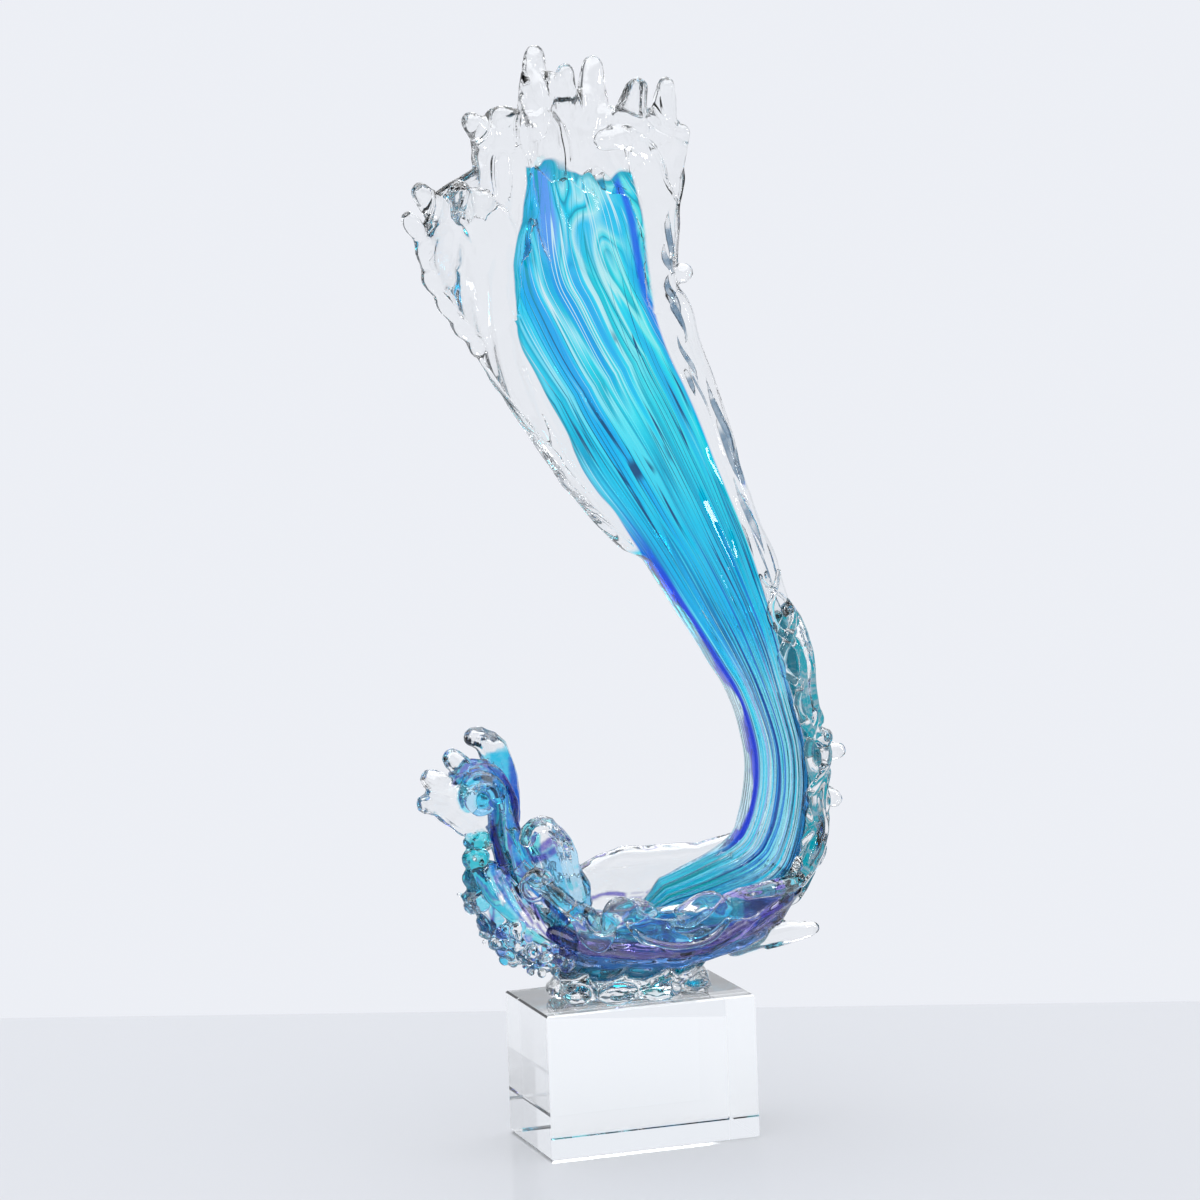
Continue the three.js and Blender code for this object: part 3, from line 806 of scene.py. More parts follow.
# %% Hot bits
class HotBits:
    def __init__(self):
        self.mesh = bmesh.new()
        self.tints = []

    def note(self, tint):
        self.tints += [tint] * (len(self.mesh.faces) - len(self.tints))

    def take(self, mesh, tint):
        self.mesh.from_mesh(mesh)
        bpy.data.meshes.remove(mesh)
        self.note(tint)

    def node(self, name, tint=None, swell=0.4 * mm):
        mesh = bpy.data.meshes.new("bit")
        bit = gather(name, swell)
        bit.to_mesh(mesh)
        bit.free()
        self.take(mesh, tint or slot_tints[slot_of[name]])

    def bead(self, place, size, tint):
        spot = Matrix.Translation(place) @ Matrix.Diagonal((*size, 1.0))
        bmesh.ops.create_icosphere(self.mesh, subdivisions=2, radius=1.0, matrix=spot)
        self.note(tint)

    def lay(self, points, radii, tint, **settings):
        curve = bpy.data.curves.new("strand", "CURVE")
        curve.dimensions = "3D"
        curve.bevel_resolution = 2
        curve.use_fill_caps = True
        for name, value in settings.items():
            setattr(curve, name, value)
        spline = curve.splines.new("POLY")
        spline.points.add(len(points) - 1)
        for spot, place, radius in zip(spline.points, points, radii):
            spot.co = (*place, 1.0)
            spot.radius = radius
        holder = bpy.data.objects.new("strand", curve)
        self.take(bpy.data.meshes.new_from_object(holder), tint)
        bpy.data.objects.remove(holder)
        bpy.data.curves.remove(curve)

    def strand(self, points, radii, tint):
        self.lay(points, radii, tint, bevel_depth=1.0)

    def ribbon(self, points, height, depth, tint):
        even = np.ones(len(points))
        self.lay(points, even, tint, twist_mode="Z_UP", extrude=height, bevel_depth=depth)

    def fuse(self, name, voxel, rounds):
        self.sources = BVHTree.FromBMesh(self.mesh)
        self.voxel = voxel
        piece = piece_from(self.mesh, name)
        remesh = piece.modifiers.new("melt", "REMESH")
        remesh.mode = "VOXEL"
        remesh.voxel_size = voxel
        soften = piece.modifiers.new("soften", "SMOOTH")
        soften.factor = 0.5
        soften.iterations = rounds
        settle(piece)
        piece.data.shade_smooth()
        return piece

    def tint_at(self, spot):
        tint = self.tints[self.sources.find_nearest(spot)[2]]
        return tints[tint(spot) if callable(tint) else tint]


print("hot bits ready")

# %% [markdown]
# Hot glass is never quite even, so wobble pushes a skin in and out by smooth noise. Tint_piece gives
# each point the tint of its nearest bit and smooths it, so that colours bleed into each other. Ridges
# are turned clear, because the colour lies deeper, under a clear coat.

# %% Wobble and tint of a fused piece
tint_rounds = 2
ridge_rounds = 3


def wobble(piece, height, size, seed):
    verts = piece.data.vertices
    spots, normals = read(verts, "co"), read(verts, "normal")
    lift = [noise.noise(Vector(spot) / size + Vector((seed, 0, 0))) for spot in spots]
    verts.foreach_set("co", (spots + normals * height * np.array(lift)[:, None]).ravel())
    piece.data.update()


def tint_piece(piece, bits, clear_from, clear_to):
    mesh = piece.data
    mean = neighbour_mean(mesh)
    spots, normals = read(mesh.vertices, "co"), read(mesh.vertices, "normal")
    color = np.array([bits.tint_at(Vector(spot)) for spot in spots])
    for _ in range(tint_rounds):
        color = 0.5 * color + 0.5 * mean(color)
    bulge = ((spots - mean(spots)) * normals).sum(axis=1, keepdims=True) / bits.voxel
    for _ in range(ridge_rounds):
        bulge = 0.5 * bulge + 0.5 * mean(bulge)
    crest = smooth_step(bulge, clear_from, clear_to)
    color = color * (1 - crest) + np.array(tints["clear"]) * crest
    layer = mesh.attributes.new("tint", "FLOAT_COLOR", "POINT")
    layer.data.foreach_set("color", np.hstack([color, np.ones((len(color), 1))]).ravel())


def finish_piece(piece, material, names):
    piece.data.materials.clear()
    piece.data.materials.append(material)
    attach(piece, "root")
    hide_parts(*names)
    print(piece.name, "stands for", len(names), "bits with", len(piece.data.polygons), "faces")


print("wobble and tint ready")

# %% [markdown]
# ## Column
# Nine canes of coloured glass were laid side by side and drawn up together, which is why the column
# is ribbed from end to end. Remeshing would blur ribs that are only a few millimetres apart. The
# column is woven instead: two grids, one for the front and one for the back, follow the canes' own
# rings, and are closed into one skin at their rims.

# %% Rings of the canes
cane_count = 9
cane_sides = 8


def cane_rings(name):
    cane = gather(name)
    poles = [vert for vert in cane.verts if len(vert.link_edges) == cane_sides]
    ring = {min(poles, key=lambda vert: vert.co.z)}
    seen, rings = set(ring), []
    while True:
        ring = {edge.other_vert(vert) for vert in ring for edge in vert.link_edges} - seen
        if len(ring) < cane_sides:
            break
        seen |= ring
        rings.append([tuple(vert.co) for vert in sorted(ring, key=lambda vert: vert.index)])
    cane.free()
    return rings[1:-1]


def resample(values, count):
    first, last = 2 * values[:1] - values[1:2], 2 * values[-1:] - values[-2:-1]
    padded = np.concatenate([first, values, last])
    spot = np.linspace(0, len(values) - 1, count)
    index = np.minimum(spot.astype(int), len(values) - 2)
    t = (spot - index).reshape(-1, *[1] * (values.ndim - 1))
    p0, p1, p2, p3 = (padded[index + step] for step in range(4))
    bend = (p2 - p0) * t + (2 * p0 - 5 * p1 + 4 * p2 - p3) * t**2 + (3 * p1 - p0 - 3 * p2 + p3) * t**3
    return p1 + 0.5 * bend


def unit(vectors):
    return vectors / np.linalg.norm(vectors, axis=-1, keepdims=True)


print("rings of the first cane:", len(cane_rings("cane_1")))

# %% [markdown]
# The flow lines lie at the two outer sides and between every two canes. With them go three directions
# for each row: along the column, across it, and out of it towards the viewer. Later steps use these to
# place whatever lies on the sheet.

# %% Flow lines of the sheet
row_count = 150
rings = np.array([cane_rings(f"cane_{index + 1}") for index in range(cane_count)])
centres = rings.mean(axis=2)
along = unit(np.gradient(centres[cane_count // 2], axis=0))
across = unit(centres[-1] - centres[0])
across = unit(across - along * (across * along).sum(axis=1, keepdims=True))
deep = np.cross(across, along)
deep *= -np.sign(deep[:, 1:2])
offsets = rings - centres[:, :, None]
half_deep = np.abs((offsets * deep[None, :, None]).sum(axis=3)).max(axis=2)
half_wide = np.abs((offsets * across[None, :, None]).sum(axis=3)).max(axis=2)
left_line = centres[0] - across * half_wide[0][:, None]
right_line = centres[-1] + across * half_wide[-1][:, None]
between = 0.5 * (centres[1:] + centres[:-1])
lines = np.stack([left_line, *between, right_line], axis=1)
depths = np.stack([half_deep[0], *(0.5 * (half_deep[1:] + half_deep[:-1])), half_deep[-1]], axis=1)
lines, depths = resample(lines, row_count), resample(depths, row_count)
along, across, deep = (unit(resample(axis, row_count)) for axis in (along, across, deep))
print("flow lines:", lines.shape)

# %% [markdown]
# The coloured sheet runs on past the canes into the clear petals. A few extra rows of the grid carry
# it there: how far each line may reach is measured on the petals' own tips.

# %% Tips of the sheet
tip_rows = 18
near_line = 4 * mm


def cloud_of(names):
    cloud = []
    for name in names:
        bit = gather(name)
        bmesh.ops.subdivide_edges(bit, edges=bit.edges, cuts=3, use_grid_fill=True)
        cloud += [tuple(vert.co) for vert in bit.verts]
        bit.free()
    return np.array(cloud)


def soft(values, span):
    window = np.hanning(2 * span + 1)
    padded = np.pad(values, span, mode="edge")
    return np.convolve(padded, window / window.sum(), mode="valid")


lane_steps = 16
lane_columns = cane_count * lane_steps
lanes = resample(lines.transpose(1, 0, 2), lane_columns + 1).transpose(1, 0, 2)
lane_depth = resample(depths.T, lane_columns + 1).T
crown_cloud = cloud_of(["crest_petal_2", "crest_petal_3", "crest_petal_4", "crest_petal_5"])
tip_line = unit(lanes[-1] - lanes[-9])
tip_reach = []
for spot, up in zip(lanes[-1], tip_line):
    local = crown_cloud - spot
    near = np.abs(local @ across[-1]) < near_line
    tip_reach.append((local[near] @ up).max())
tip_reach = soft(np.array(tip_reach), 10)[:, None]
tip_steps = (np.arange(1, tip_rows + 1) / tip_rows)[:, None, None]
lanes = np.concatenate([lanes, lanes[-1] + tip_line * tip_reach * tip_steps])
lane_depth = np.concatenate([lane_depth, np.repeat(lane_depth[-1:], tip_rows, axis=0)])
print("tips reach", tip_reach.min().round(4), "to", tip_reach.max().round(4), "m past the canes")

# %% [markdown]
# At its root the sheet lies as a tongue on the trough's floor. More rows at the lower end narrow
# towards one spot there. The three directions of the sheet are carried on over all the new rows.

# %% Tongue on the trough's floor
tongue_rows = 12
tongue_tip = np.array((5 * mm, 20 * mm, wave_base + 13 * mm))
tongue_share = 0.1 + 0.9 * (np.arange(tongue_rows) / tongue_rows) ** 0.8
tongue = tongue_tip + (lanes[:1] - tongue_tip) * tongue_share[:, None, None]
lanes = np.concatenate([tongue, lanes])
lane_depth = np.concatenate([np.repeat(lane_depth[:1], tongue_rows, axis=0), lane_depth])
row_total = tongue_rows + row_count + tip_rows
along, across, deep = (np.pad(axis, ((tongue_rows, tip_rows), (0, 0)), mode="edge")
                       for axis in (along, across, deep))
print("rows of the sheet:", row_total)

# %% [markdown]
# Clear glass frames the coloured sheet on both sides. How far it reaches is measured on the frame's
# fins and petals, row by row, so that the skin ends where they end. A little noise keeps the rims from
# looking cut.

# %% Clear margins
margin_floor = 1.4 * mm
near_row = 4 * mm


def margin(names, edge, outward, near_edge):
    points = cloud_of(names)
    reach, lean = [], []
    for spot, out, up, front in zip(edge, outward, along, deep):
        local = points - spot
        near = (np.abs(local @ up) < near_row) & (np.linalg.norm(local, axis=1) < near_edge)
        far = local[near][np.argmax(local[near] @ out)] if near.any() else np.zeros(3)
        reach.append(max(far @ out, 0.0))
        lean.append(far @ front)
    return margin_floor + soft(np.array(reach), 3), soft(np.array(lean), 8)


left_names = ["left_fin", "crest_petal_1", "crest_petal_2"]
right_names = ["right_fin", "crest_petal_5"]
left_margin, left_lean = margin(left_names, lanes[:, 0], -across, 80 * mm)
right_margin, right_lean = margin(right_names, lanes[:, -1], across, 42 * mm)
left_margin[:tongue_rows] *= tongue_share
right_margin[:tongue_rows] *= tongue_share
wave_rows = np.arange(row_total) / row_count
left_margin += [0.8 * mm * noise.noise(Vector((30 * share, 0, 0))) for share in wave_rows]
right_margin += [1.6 * mm * noise.noise(Vector((26 * share, 9, 0))) for share in wave_rows]
print("margins up to", left_margin.max().round(4), "and", right_margin.max().round(4), "m")

# %% [markdown]
# The ribs are real relief and not bump, because they show in the outline and bend what lies behind.
# Each cane is one round rib with three finer ones on it, strongest at the neck. The clear margins get
# broad soft folds instead.

# %% Relief of ribs and folds
coarse_depth = 0.15
fine_depth = 0.05
fold_depth = 0.3
fold_width = 4 * mm


def rib_at(lane, share):
    sway = 0.012 * noise.noise(Vector((3 * lane, 5 * share, 0.0)))
    coarse = ((lane + sway) * cane_count) % 1.0
    fine = ((lane + 0.5 * sway) * cane_count * 3) % 1.0
    coarse_rib = np.sqrt(max(0.0, 1 - (2 * coarse - 1) ** 2))
    fine_rib = np.sqrt(max(0.0, 1 - (2 * fine - 1) ** 2))
    neck = 1 - smooth_step(share, 0.3, 0.55)
    return coarse_depth * (0.12 + 0.88 * neck) * (coarse_rib - 1) + fine_depth * neck * (fine_rib - 1)


def relief(lane, share, beyond, side):
    broad = 0.06 * noise.noise(Vector((5 * lane, 9 * share, 3.1 * side)))
    edge = smooth_step(beyond, 0.0, 3 * mm)
    bend = noise.noise(Vector((5 * share, 2.0 * side, 0.0)))
    fold = noise.noise(Vector((beyond / fold_width + 1.2 * bend, 7 * share, 2.0 * side)))
    return 1 + broad + (1 - edge) * rib_at(lane, share) + edge * fold_depth * fold


print("relief in the middle:", relief(0.5, 0.5, 0.0, 1))

# %% [markdown]
# Sheet and margins become one grid of spots, each with the depth of glass around it. The depth falls
# off in a round curve towards the rims, the root and the tips. The flow numbers of every spot are
# worked out alongside.

# %% Grid of the sheet
margin_steps = 16
end_rows = 4
column_count = lane_columns + 2 * margin_steps + 1
out = np.arange(1, margin_steps + 1) / margin_steps
rim = np.sqrt(1 - out**3)


def margin_spots(edge, outward, reach, lean, shares):
    side = outward[:, None] * reach[:, None, None] * shares[None, :, None]
    return edge[:, None] + side + deep[:, None] * lean[:, None, None] * shares[None, :, None] ** 2


left_spots = margin_spots(lanes[:, 0], -across, left_margin, left_lean, out[::-1])
right_spots = margin_spots(lanes[:, -1], across, right_margin, right_lean, out)
left_depth = lane_depth[:, :1] * rim[None, ::-1]
right_depth = lane_depth[:, -1:] * rim[None, :]
spots = np.concatenate([left_spots, lanes, right_spots], axis=1)
skin_depth = np.concatenate([left_depth, lane_depth, right_depth], axis=1)
rows = np.arange(row_total)
root = np.sqrt(1 - np.maximum(0.0, 1 - rows / (tongue_rows + 3)) ** 2)
tip = np.sqrt(1 - np.maximum(0.0, 1 - rows[::-1] / end_rows) ** 2)
skin_depth = skin_depth * (root * tip)[:, None]
width = np.linalg.norm(lanes[:, -1] - lanes[:, 0], axis=1)
inner_share = np.repeat(np.linspace(0, 1, lane_columns + 1)[None], row_total, axis=0)
left_share = -left_margin[:, None] / width[:, None] * out[None, ::-1]
right_share = 1 + right_margin[:, None] / width[:, None] * out[None, :]
lane_share = np.concatenate([left_share, inner_share, right_share], axis=1)
row_share = (rows - tongue_rows) / (row_count - 1)
print("grid of the sheet:", row_total, "by", column_count)

# %% [markdown]
# Every point of a flat grid is moved to its place on the sheet, and lifted by the depth of the glass
# and its relief there. It also keeps its flow numbers for the finish. Front and back have no depth at
# the rims, so they meet there and doubled points are merged.

# %% Weave the column's skin
def weave(skin, side):
    fresh = bmesh.ops.create_grid(skin, x_segments=column_count - 1, y_segments=row_total - 1, size=1.0)
    flow = skin.verts.layers.float_vector["flow"]
    for vert in fresh["verts"]:
        column = round((vert.co.x + 1) / 2 * (column_count - 1))
        row = round((vert.co.y + 1) / 2 * (row_total - 1))
        lane, share = lane_share[row, column], row_share[row]
        beyond = max(-lane, lane - 1, 0.0) * width[row]
        swell = relief(lane, share, beyond, side)
        vert.co = Vector(spots[row, column] + side * skin_depth[row, column] * swell * deep[row])
        vert[flow] = Vector((lane, share, side))


skin = bmesh.new()
skin.verts.layers.float_vector.new("flow")
for side in (1, -1):
    weave(skin, side)
bmesh.ops.remove_doubles(skin, verts=skin.verts, dist=merge_reach)
bmesh.ops.recalc_face_normals(skin, faces=skin.faces)
column = piece_from(skin, "wave_sheet")
print("woven skin:", len(column.data.polygons), "faces")

# %% [markdown]
# ## Crest
# At the top the wave breaks into clear petals and fingers, and the streaks run on into them. Each
# point of the crest takes its flow numbers from the nearest places on the sheet. For that the sheet
# is carried on past its own rims.

# %% Flow past the column's rims
flow_reach = np.linspace(-1.2, 1.8, 121)


def flow_field():
    inside = np.clip(flow_reach, 0, 1)
    picked = np.rint(inside * lane_columns).astype(int)
    beyond = (flow_reach - inside)[None, :, None]
    places = lanes[::2, picked] + across[::2, None] * beyond * width[::2, None, None]
    tree = KDTree(places[..., 0].size)
    for index, place in enumerate(places.reshape(-1, 3)):
        tree.insert(place, index)
    tree.balance()
    return tree, row_share[::2]


flow_tree, flow_shares = flow_field()


def flow_at(vert):
    near = flow_tree.find_n(vert.co, 4)
    weights = np.array([1 / (distance + 0.1 * mm) ** 2 for _, _, distance in near])
    index = np.array([entry for _, entry, _ in near])
    lane = flow_reach[index % len(flow_reach)]
    share = flow_shares[index // len(flow_reach)]
    return (weights @ lane) / weights.sum(), (weights @ share) / weights.sum(), np.sign(-vert.normal.y)


print("places in the flow:", len(flow_shares) * len(flow_reach))

# %% [markdown]
# The crest was folded while it was hot. A fold is a clear strand laid on the sheet from one place to
# another, a web is a flat bead between two fingers, and two nubs sit on the rim.

# %% Folds of the crest
fold_ends = [
    ((-0.06, 1.04), (0.26, 0.98)),
    ((0.20, 1.05), (0.68, 0.96)),
    ((0.36, 1.03), (0.56, 0.97)),
    ((0.05, 0.99), (0.28, 0.88)),
    ((0.98, 1.06), (1.02, 0.88)),
    ((1.25, 1.02), (1.22, 0.90)),
    ((-0.44, 0.92), (-0.20, 0.80)),
    ((-0.14, 0.90), (-0.10, 0.74)),
    ((-0.40, 0.80), (-0.16, 0.68)),
    ((-0.12, 0.72), (-0.05, 0.60)),
    ((-0.26, 0.70), (-0.08, 0.56)),
]
web_lifts = [14, 4, 2, 4, 4]
nub_lanes = [0.80, 0.93]


def skin_spot(lane, share, side):
    row, column = tongue_rows + share * (row_count - 1), lane * lane_columns
    low, left = min(int(row), row_total - 2), int(np.clip(column, 0, lane_columns - 1))
    up, right = row - low, column - left
    weights = np.array([[(1 - up) * (1 - right), (1 - up) * right], [up * (1 - right), up * right]])
    spot = np.einsum("ij,ijk->k", weights, lanes[low:low + 2, left:left + 2])
    return spot + side * (weights * lane_depth[low:low + 2, left:left + 2]).sum() * deep[low]


def fold(bits, start, end, radius):
    steps = np.linspace(0, 1, 16)
    bow = 0.04 * np.sin(pi * steps)
    fold_lanes = start[0] + (end[0] - start[0]) * steps - bow
    fold_shares = start[1] + (end[1] - start[1]) * steps
    path = [skin_spot(lane, share, 1) for lane, share in zip(fold_lanes, fold_shares)]
    bits.strand(path, radius * np.sin(pi * np.clip(steps, 0.08, 0.92)) ** 0.5, "clear")


def web(bits, index, lift):
    first_low, first_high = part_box(f"crest_finger_{index}")
    second_low, second_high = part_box(f"crest_finger_{index + 1}")
    gap = 0.5 * abs(first_low[0] + first_high[0] - second_low[0] - second_high[0])
    corners = (first_low, first_high, second_low, second_high)
    x, y = (0.25 * sum(corner[axis] for corner in corners) for axis in (0, 1))
    height = max(first_low[2], second_low[2]) + lift * mm
    bits.bead((x, y, height), (0.62 * gap, 4 * mm, 14 * mm), "clear")


print("folds to lay:", len(fold_ends))

# %% [markdown]
# Petals, fingers, folds and webs melt into one skin. Its flow numbers are averaged over neighbours a
# few times, because a jump between two rows would show as a step in the streaks.

# %% Fuse the crest
crest_names = like("crest_")
crest_voxel = 1.3 * mm
fold_radius = 2.4 * mm
nub_size = (3 * mm, 4 * mm, 5 * mm)
crest_bits = HotBits()
for name in crest_names:
    crest_bits.node(name, swell=(0.2 if "petal" in name else 1.2) * mm)
for start, end in fold_ends:
    fold(crest_bits, start, end, fold_radius)
for index, lift in enumerate(web_lifts):
    web(crest_bits, index + 1, lift)
for lane in nub_lanes:
    crest_bits.bead(skin_spot(lane, 1.0, 1), nub_size, "clear")
crest = crest_bits.fuse("crest_fan", crest_voxel, 9)
wobble(crest, 1.0 * mm, 12 * mm, 3.0)
flows = np.array([flow_at(vert) for vert in crest.data.vertices])
crest_mean = neighbour_mean(crest.data)
for _ in range(12):
    flows = crest_mean(flows)
crest.data.attributes.new("flow", "FLOAT_VECTOR", "POINT").data.foreach_set("vector", flows.ravel())
print("crest:", len(crest.data.polygons), "faces")

# %% [markdown]
# The crest is joined to the column by a union, so that no wall is left inside the glass. Points that
# the union adds carry no flow, so they take it from their neighbours.

# %% Join the crest to the column
join = column.modifiers.new("join", "BOOLEAN")
join.operation = "UNION"
join.solver = "MANIFOLD"
join.object = crest
settle(column)
bpy.data.objects.remove(crest)
flow_data = column.data.attributes["flow"].data
flows = read(flow_data, "vector")
known = np.abs(flows).sum(axis=1, keepdims=True) > 1e-6
column_mean = neighbour_mean(column.data)
for _ in range(4):
    weight = column_mean(known.astype(float))
    guess = column_mean(flows * known) / np.maximum(weight, 1e-6)
    flows = np.where(known, flows, guess)
    known = known | (weight > 0)
flow_data.foreach_set("vector", flows.ravel())
column.data.shade_smooth()
finish_piece(column, flow_finish, [*like("cane_"), "left_fin", "right_fin", *crest_names])

# %% [markdown]
# ## Spine
# Two clear strands were wound up the outer edge of the column over a dark core. Seen from the front
# they cross again and again and leave a chain of long loops. Each strand is a curve with a bevel that
# swings from side to side, and the core is the frame's own rope.

# %% Spine
spine_names = like("spine_")
loop_length = 27 * mm


def spine_rows(start, end, steps):
    rows = tongue_rows + np.linspace(start, end, steps) * (row_count - 1)
    low = np.minimum(rows.astype(int), row_total - 2)
    part = (rows - low)[:, None]
    return lambda values: values[low] * (1 - part) + values[low + 1] * part


def chain(bits, start, end, past, swing, radius, side):
    steps = 90
    row_of = spine_rows(start, end, steps)
    edge, out, front = row_of(lanes[:, -1]), row_of(across), row_of(deep)
    half = row_of(lane_depth[:, -1:])
    middle = edge + out * row_of(past[:, None])
    travelled = np.concatenate([[0], np.cumsum(np.linalg.norm(np.diff(middle, axis=0), axis=1))])
    turn = pi * travelled / loop_length
    taper = np.sin(np.linspace(0.15, pi - 0.15, steps)) ** 0.4
    for way in (1, -1):
        sway = way * swing * np.sin(turn) * (1 + 0.2 * np.sin(0.37 * turn + way))
        lift = half[:, 0] + 1.2 * mm * way * np.cos(turn)
        path = middle + out * sway[:, None] + side * front * lift[:, None]
        bits.strand(path, radius * taper * (1 + 0.25 * np.sin(0.73 * turn + way)), "clear")


print("loops are", loop_length, "m long")

# %% [markdown]
# Higher up, long slivers of steel-blue glass lie in the clear margin. Each is a strand that starts and
# ends in a point. It is placed by how far up it starts, its length, its place across the margin and
# its thickness.

# %% Blades of the spine
blades = [
    (0.46, 0.09, 0.50, 2.0),
    (0.55, 0.10, 0.72, 2.3),
    (0.64, 0.07, 0.42, 1.8),
    (0.72, 0.10, 0.60, 2.4),
    (0.84, 0.08, 0.68, 2.0),
]


def blade(bits, start, length, place, radius, side):
    steps = np.linspace(0, 1, 20)
    row_of = spine_rows(start, start + length, len(steps))
    lift = 0.7 * row_of(lane_depth[:, -1:])
    reach = (place + 0.06 * np.sin(2 * pi * steps))[:, None] * row_of(right_margin[:, None])
    path = row_of(lanes[:, -1]) + row_of(across) * reach + side * row_of(deep) * lift
    bits.strand(path, radius * mm * np.sin(pi * np.clip(steps, 0.04, 0.96)), "steel")


print("blades on each side:", len(blades))

# %% [markdown]
# The frame's rope, wraps and beads, the two chains and the blades are melted together. The chain
# swings wide at the front. At the back, which the photo doesn't show, it swings only a little.

# %% Fuse the spine
spine_voxel = 0.8 * mm
chain_ends = (0.10, 0.47)
chain_radius = 2.8 * mm
chain_swings = [(6 * mm, 1), (1 * mm, -1)]
front_bead = (116 * mm, -9 * mm, 214 * mm)
bead_size = (5 * mm, 5 * mm, 5 * mm)
spine_bits = HotBits()
for name in spine_names:
    spine_bits.node(name, "teal" if name == "spine_rope" else None)
rope_past = np.full(row_total, 6 * mm)
for swing, side in chain_swings:
    chain(spine_bits, *chain_ends, rope_past, swing, chain_radius, side)
spine_bits.bead(front_bead, bead_size, "clear")
for side in (1, -1):
    for start, length, place, radius in blades[::side]:
        blade(spine_bits, start + 0.02 * side, length, place, radius, side)
spine = spine_bits.fuse("spine_braid", spine_voxel, 4)
wobble(spine, 0.5 * mm, 12 * mm, 1.0)
tint_piece(spine, spine_bits, 0.05, 0.13)
finish_piece(spine, swirl_finish, spine_names)

# %% [markdown]
# ## Trough and foot
# The trough is a boat of coloured glass: dark teal below, violet and indigo on the front wall, aqua
# inside, and clear near the back rim. High on the front wall, behind the ruffle, the glass is mostly
# clear with aqua and cobalt patches. That clear band is a painted reflection: it makes the ruffle in
# front read pale, as if it caught light from above. A function gives the tint for each spot, and
# noise breaks up the borders. The foot is clear below and dark above.

# %% Trough tints
keel_line = [(-72, 28), (-48, 11), (-20, -2), (20, -5), (62, 3), (102, 23), (120, 40)]
rim_line = [(-72, 42), (-48, 37), (-20, 33), (20, 31), (62, 33), (102, 41), (120, 46)]
front_from = -18
pebble_height = 14.5 * mm


def bowl_tint(spot):
    x, y, z = spot.x / mm, spot.y / mm, (spot.z - wave_base) / mm
    patch = noise.noise(Vector((x / 14, y / 14, z / 7)))
    under = 8 if y < front_from else np.interp(x, *zip(*keel_line)) + 5
    if z < under + 3 * patch:
        return "teal" if patch > 0.1 else "deep"
    if y > 12 and z > 14:
        return "clear"
    # Painted reflection: high on the front wall, behind the ruffle, the glass is mostly clear so that the
    # ruffle reads pale, as if lit from above. The aqua and cobalt patches are real colour.
    if y < front_from and z > 16 + 4 * patch and x < 55:
        return "aqua" if patch > 0.12 else "cobalt" if patch < -0.3 else "clear"
    if y < front_from:
        return "violet" if patch > 0.0 else "indigo"
    return "turquoise" if patch > 0.05 else "aqua"


def foot_tint(spot):
    return "clear" if spot.z < wave_base - foot_height + pebble_height else "deep"


trough_paint = {"trough_bowl": bowl_tint, "foot_gather": foot_tint}
print("tint of the trough's front:", bowl_tint(Vector((0.02, -0.03, wave_base + 0.01))))

# %% [markdown]
# Trails of molten glass were let down over the wall, so the wall is all folds. Each trail is a strand,
# and its points are found by casting rays at the bowl from the front or from the back.

# %% Trails on the trough's wall
bowl_skin = BVHTree.FromBMesh(gather("trough_bowl"))
trail_ends = (-70, 118)
trail_wave = 3.0
ray_from = 0.2


def wall_trail(bits, level, phase, radius, tint, side):
    xs = np.linspace(*trail_ends, 95)
    keel = np.interp(xs, *zip(*keel_line))
    rim = np.interp(xs, *zip(*rim_line))
    sway = trail_wave * np.sin(xs / 7.0 + phase) * np.sin(xs / 19.0 + 2 * phase)
    heights = rim + (keel - rim) * level + sway
    path = []
    for x, z in zip(xs, heights):
        start = Vector((x * mm, side * ray_from, wave_base + z * mm))
        hit = bowl_skin.ray_cast(start, Vector((0, -side, 0)))[0]
        if hit is not None:
            path.append(hit)
    taper = np.sin(np.linspace(0.05, pi - 0.05, len(path))) ** 0.4
    swell = 1 + 0.35 * np.sin(np.arange(len(path)) / 5.0 + 3 * phase)
    bits.strand(path, radius * taper * swell, tint)


trail_tints = ["violet", "indigo", "violet", "indigo", "deep"]
trough_names = like("trough_", "front_ruffle", "keel_", "tail_", "foot_")
trough_bits = HotBits()
for name in trough_names:
    trough_bits.node(name, trough_paint.get(name))
for side in (-1, 1):
    for index, tint in enumerate(trail_tints):
        level = (index + 0.8) / len(trail_tints)
        radius = (1.3 + 0.5 * (index % 3)) * mm
        wall_trail(trough_bits, level, 1.3 * index + side, radius, tint, side)
print("trails laid:", 2 * len(trail_tints))

# %% [markdown]
# The rim was pinched out into a ruffle: a clear ribbon that loops in front of the violet wall. A curve
# can be extruded into a band and bevelled, which gives a ribbon with round edges.

# %% Ruffle of the rim
ruffle_left = [
    (-66, -16, 60), (-58, -20, 52), (-48, -25, 43), (-40, -31, 33), (-36, -37, 22), (-30, -40, 17),
    (-25, -41, 22), (-23, -41, 33), (-18, -42, 38), (-13, -42, 35), (-10, -43, 28),
]
ruffle_pouch = [(-10, -43, 27), (0, -46, 24), (12, -48, 22), (24, -48, 23), (34, -46, 26), (42, -43, 29)]
ruffle_hem = [
    (-14, -43, 28), (-8, -46, 19), (2, -48, 15), (12, -49, 13), (24, -49, 13), (34, -47, 16), (44, -43, 23),
]
ruffle_right = [
    (14, -45, 29), (22, -47, 34), (30, -47, 37), (37, -45, 35), (42, -43, 30), (48, -41, 28),
    (58, -39, 28), (68, -36, 30), (80, -30, 34), (90, -21, 40), (98, -12, 46),
]
ruffles = [
    (ruffle_left, 3.0, 1.9, "clear"),
    (ruffle_pouch, 5.0, 1.5, "sky"),
    (ruffle_right, 2.8, 1.9, "clear"),
]
hem_radius = 2.0 * mm


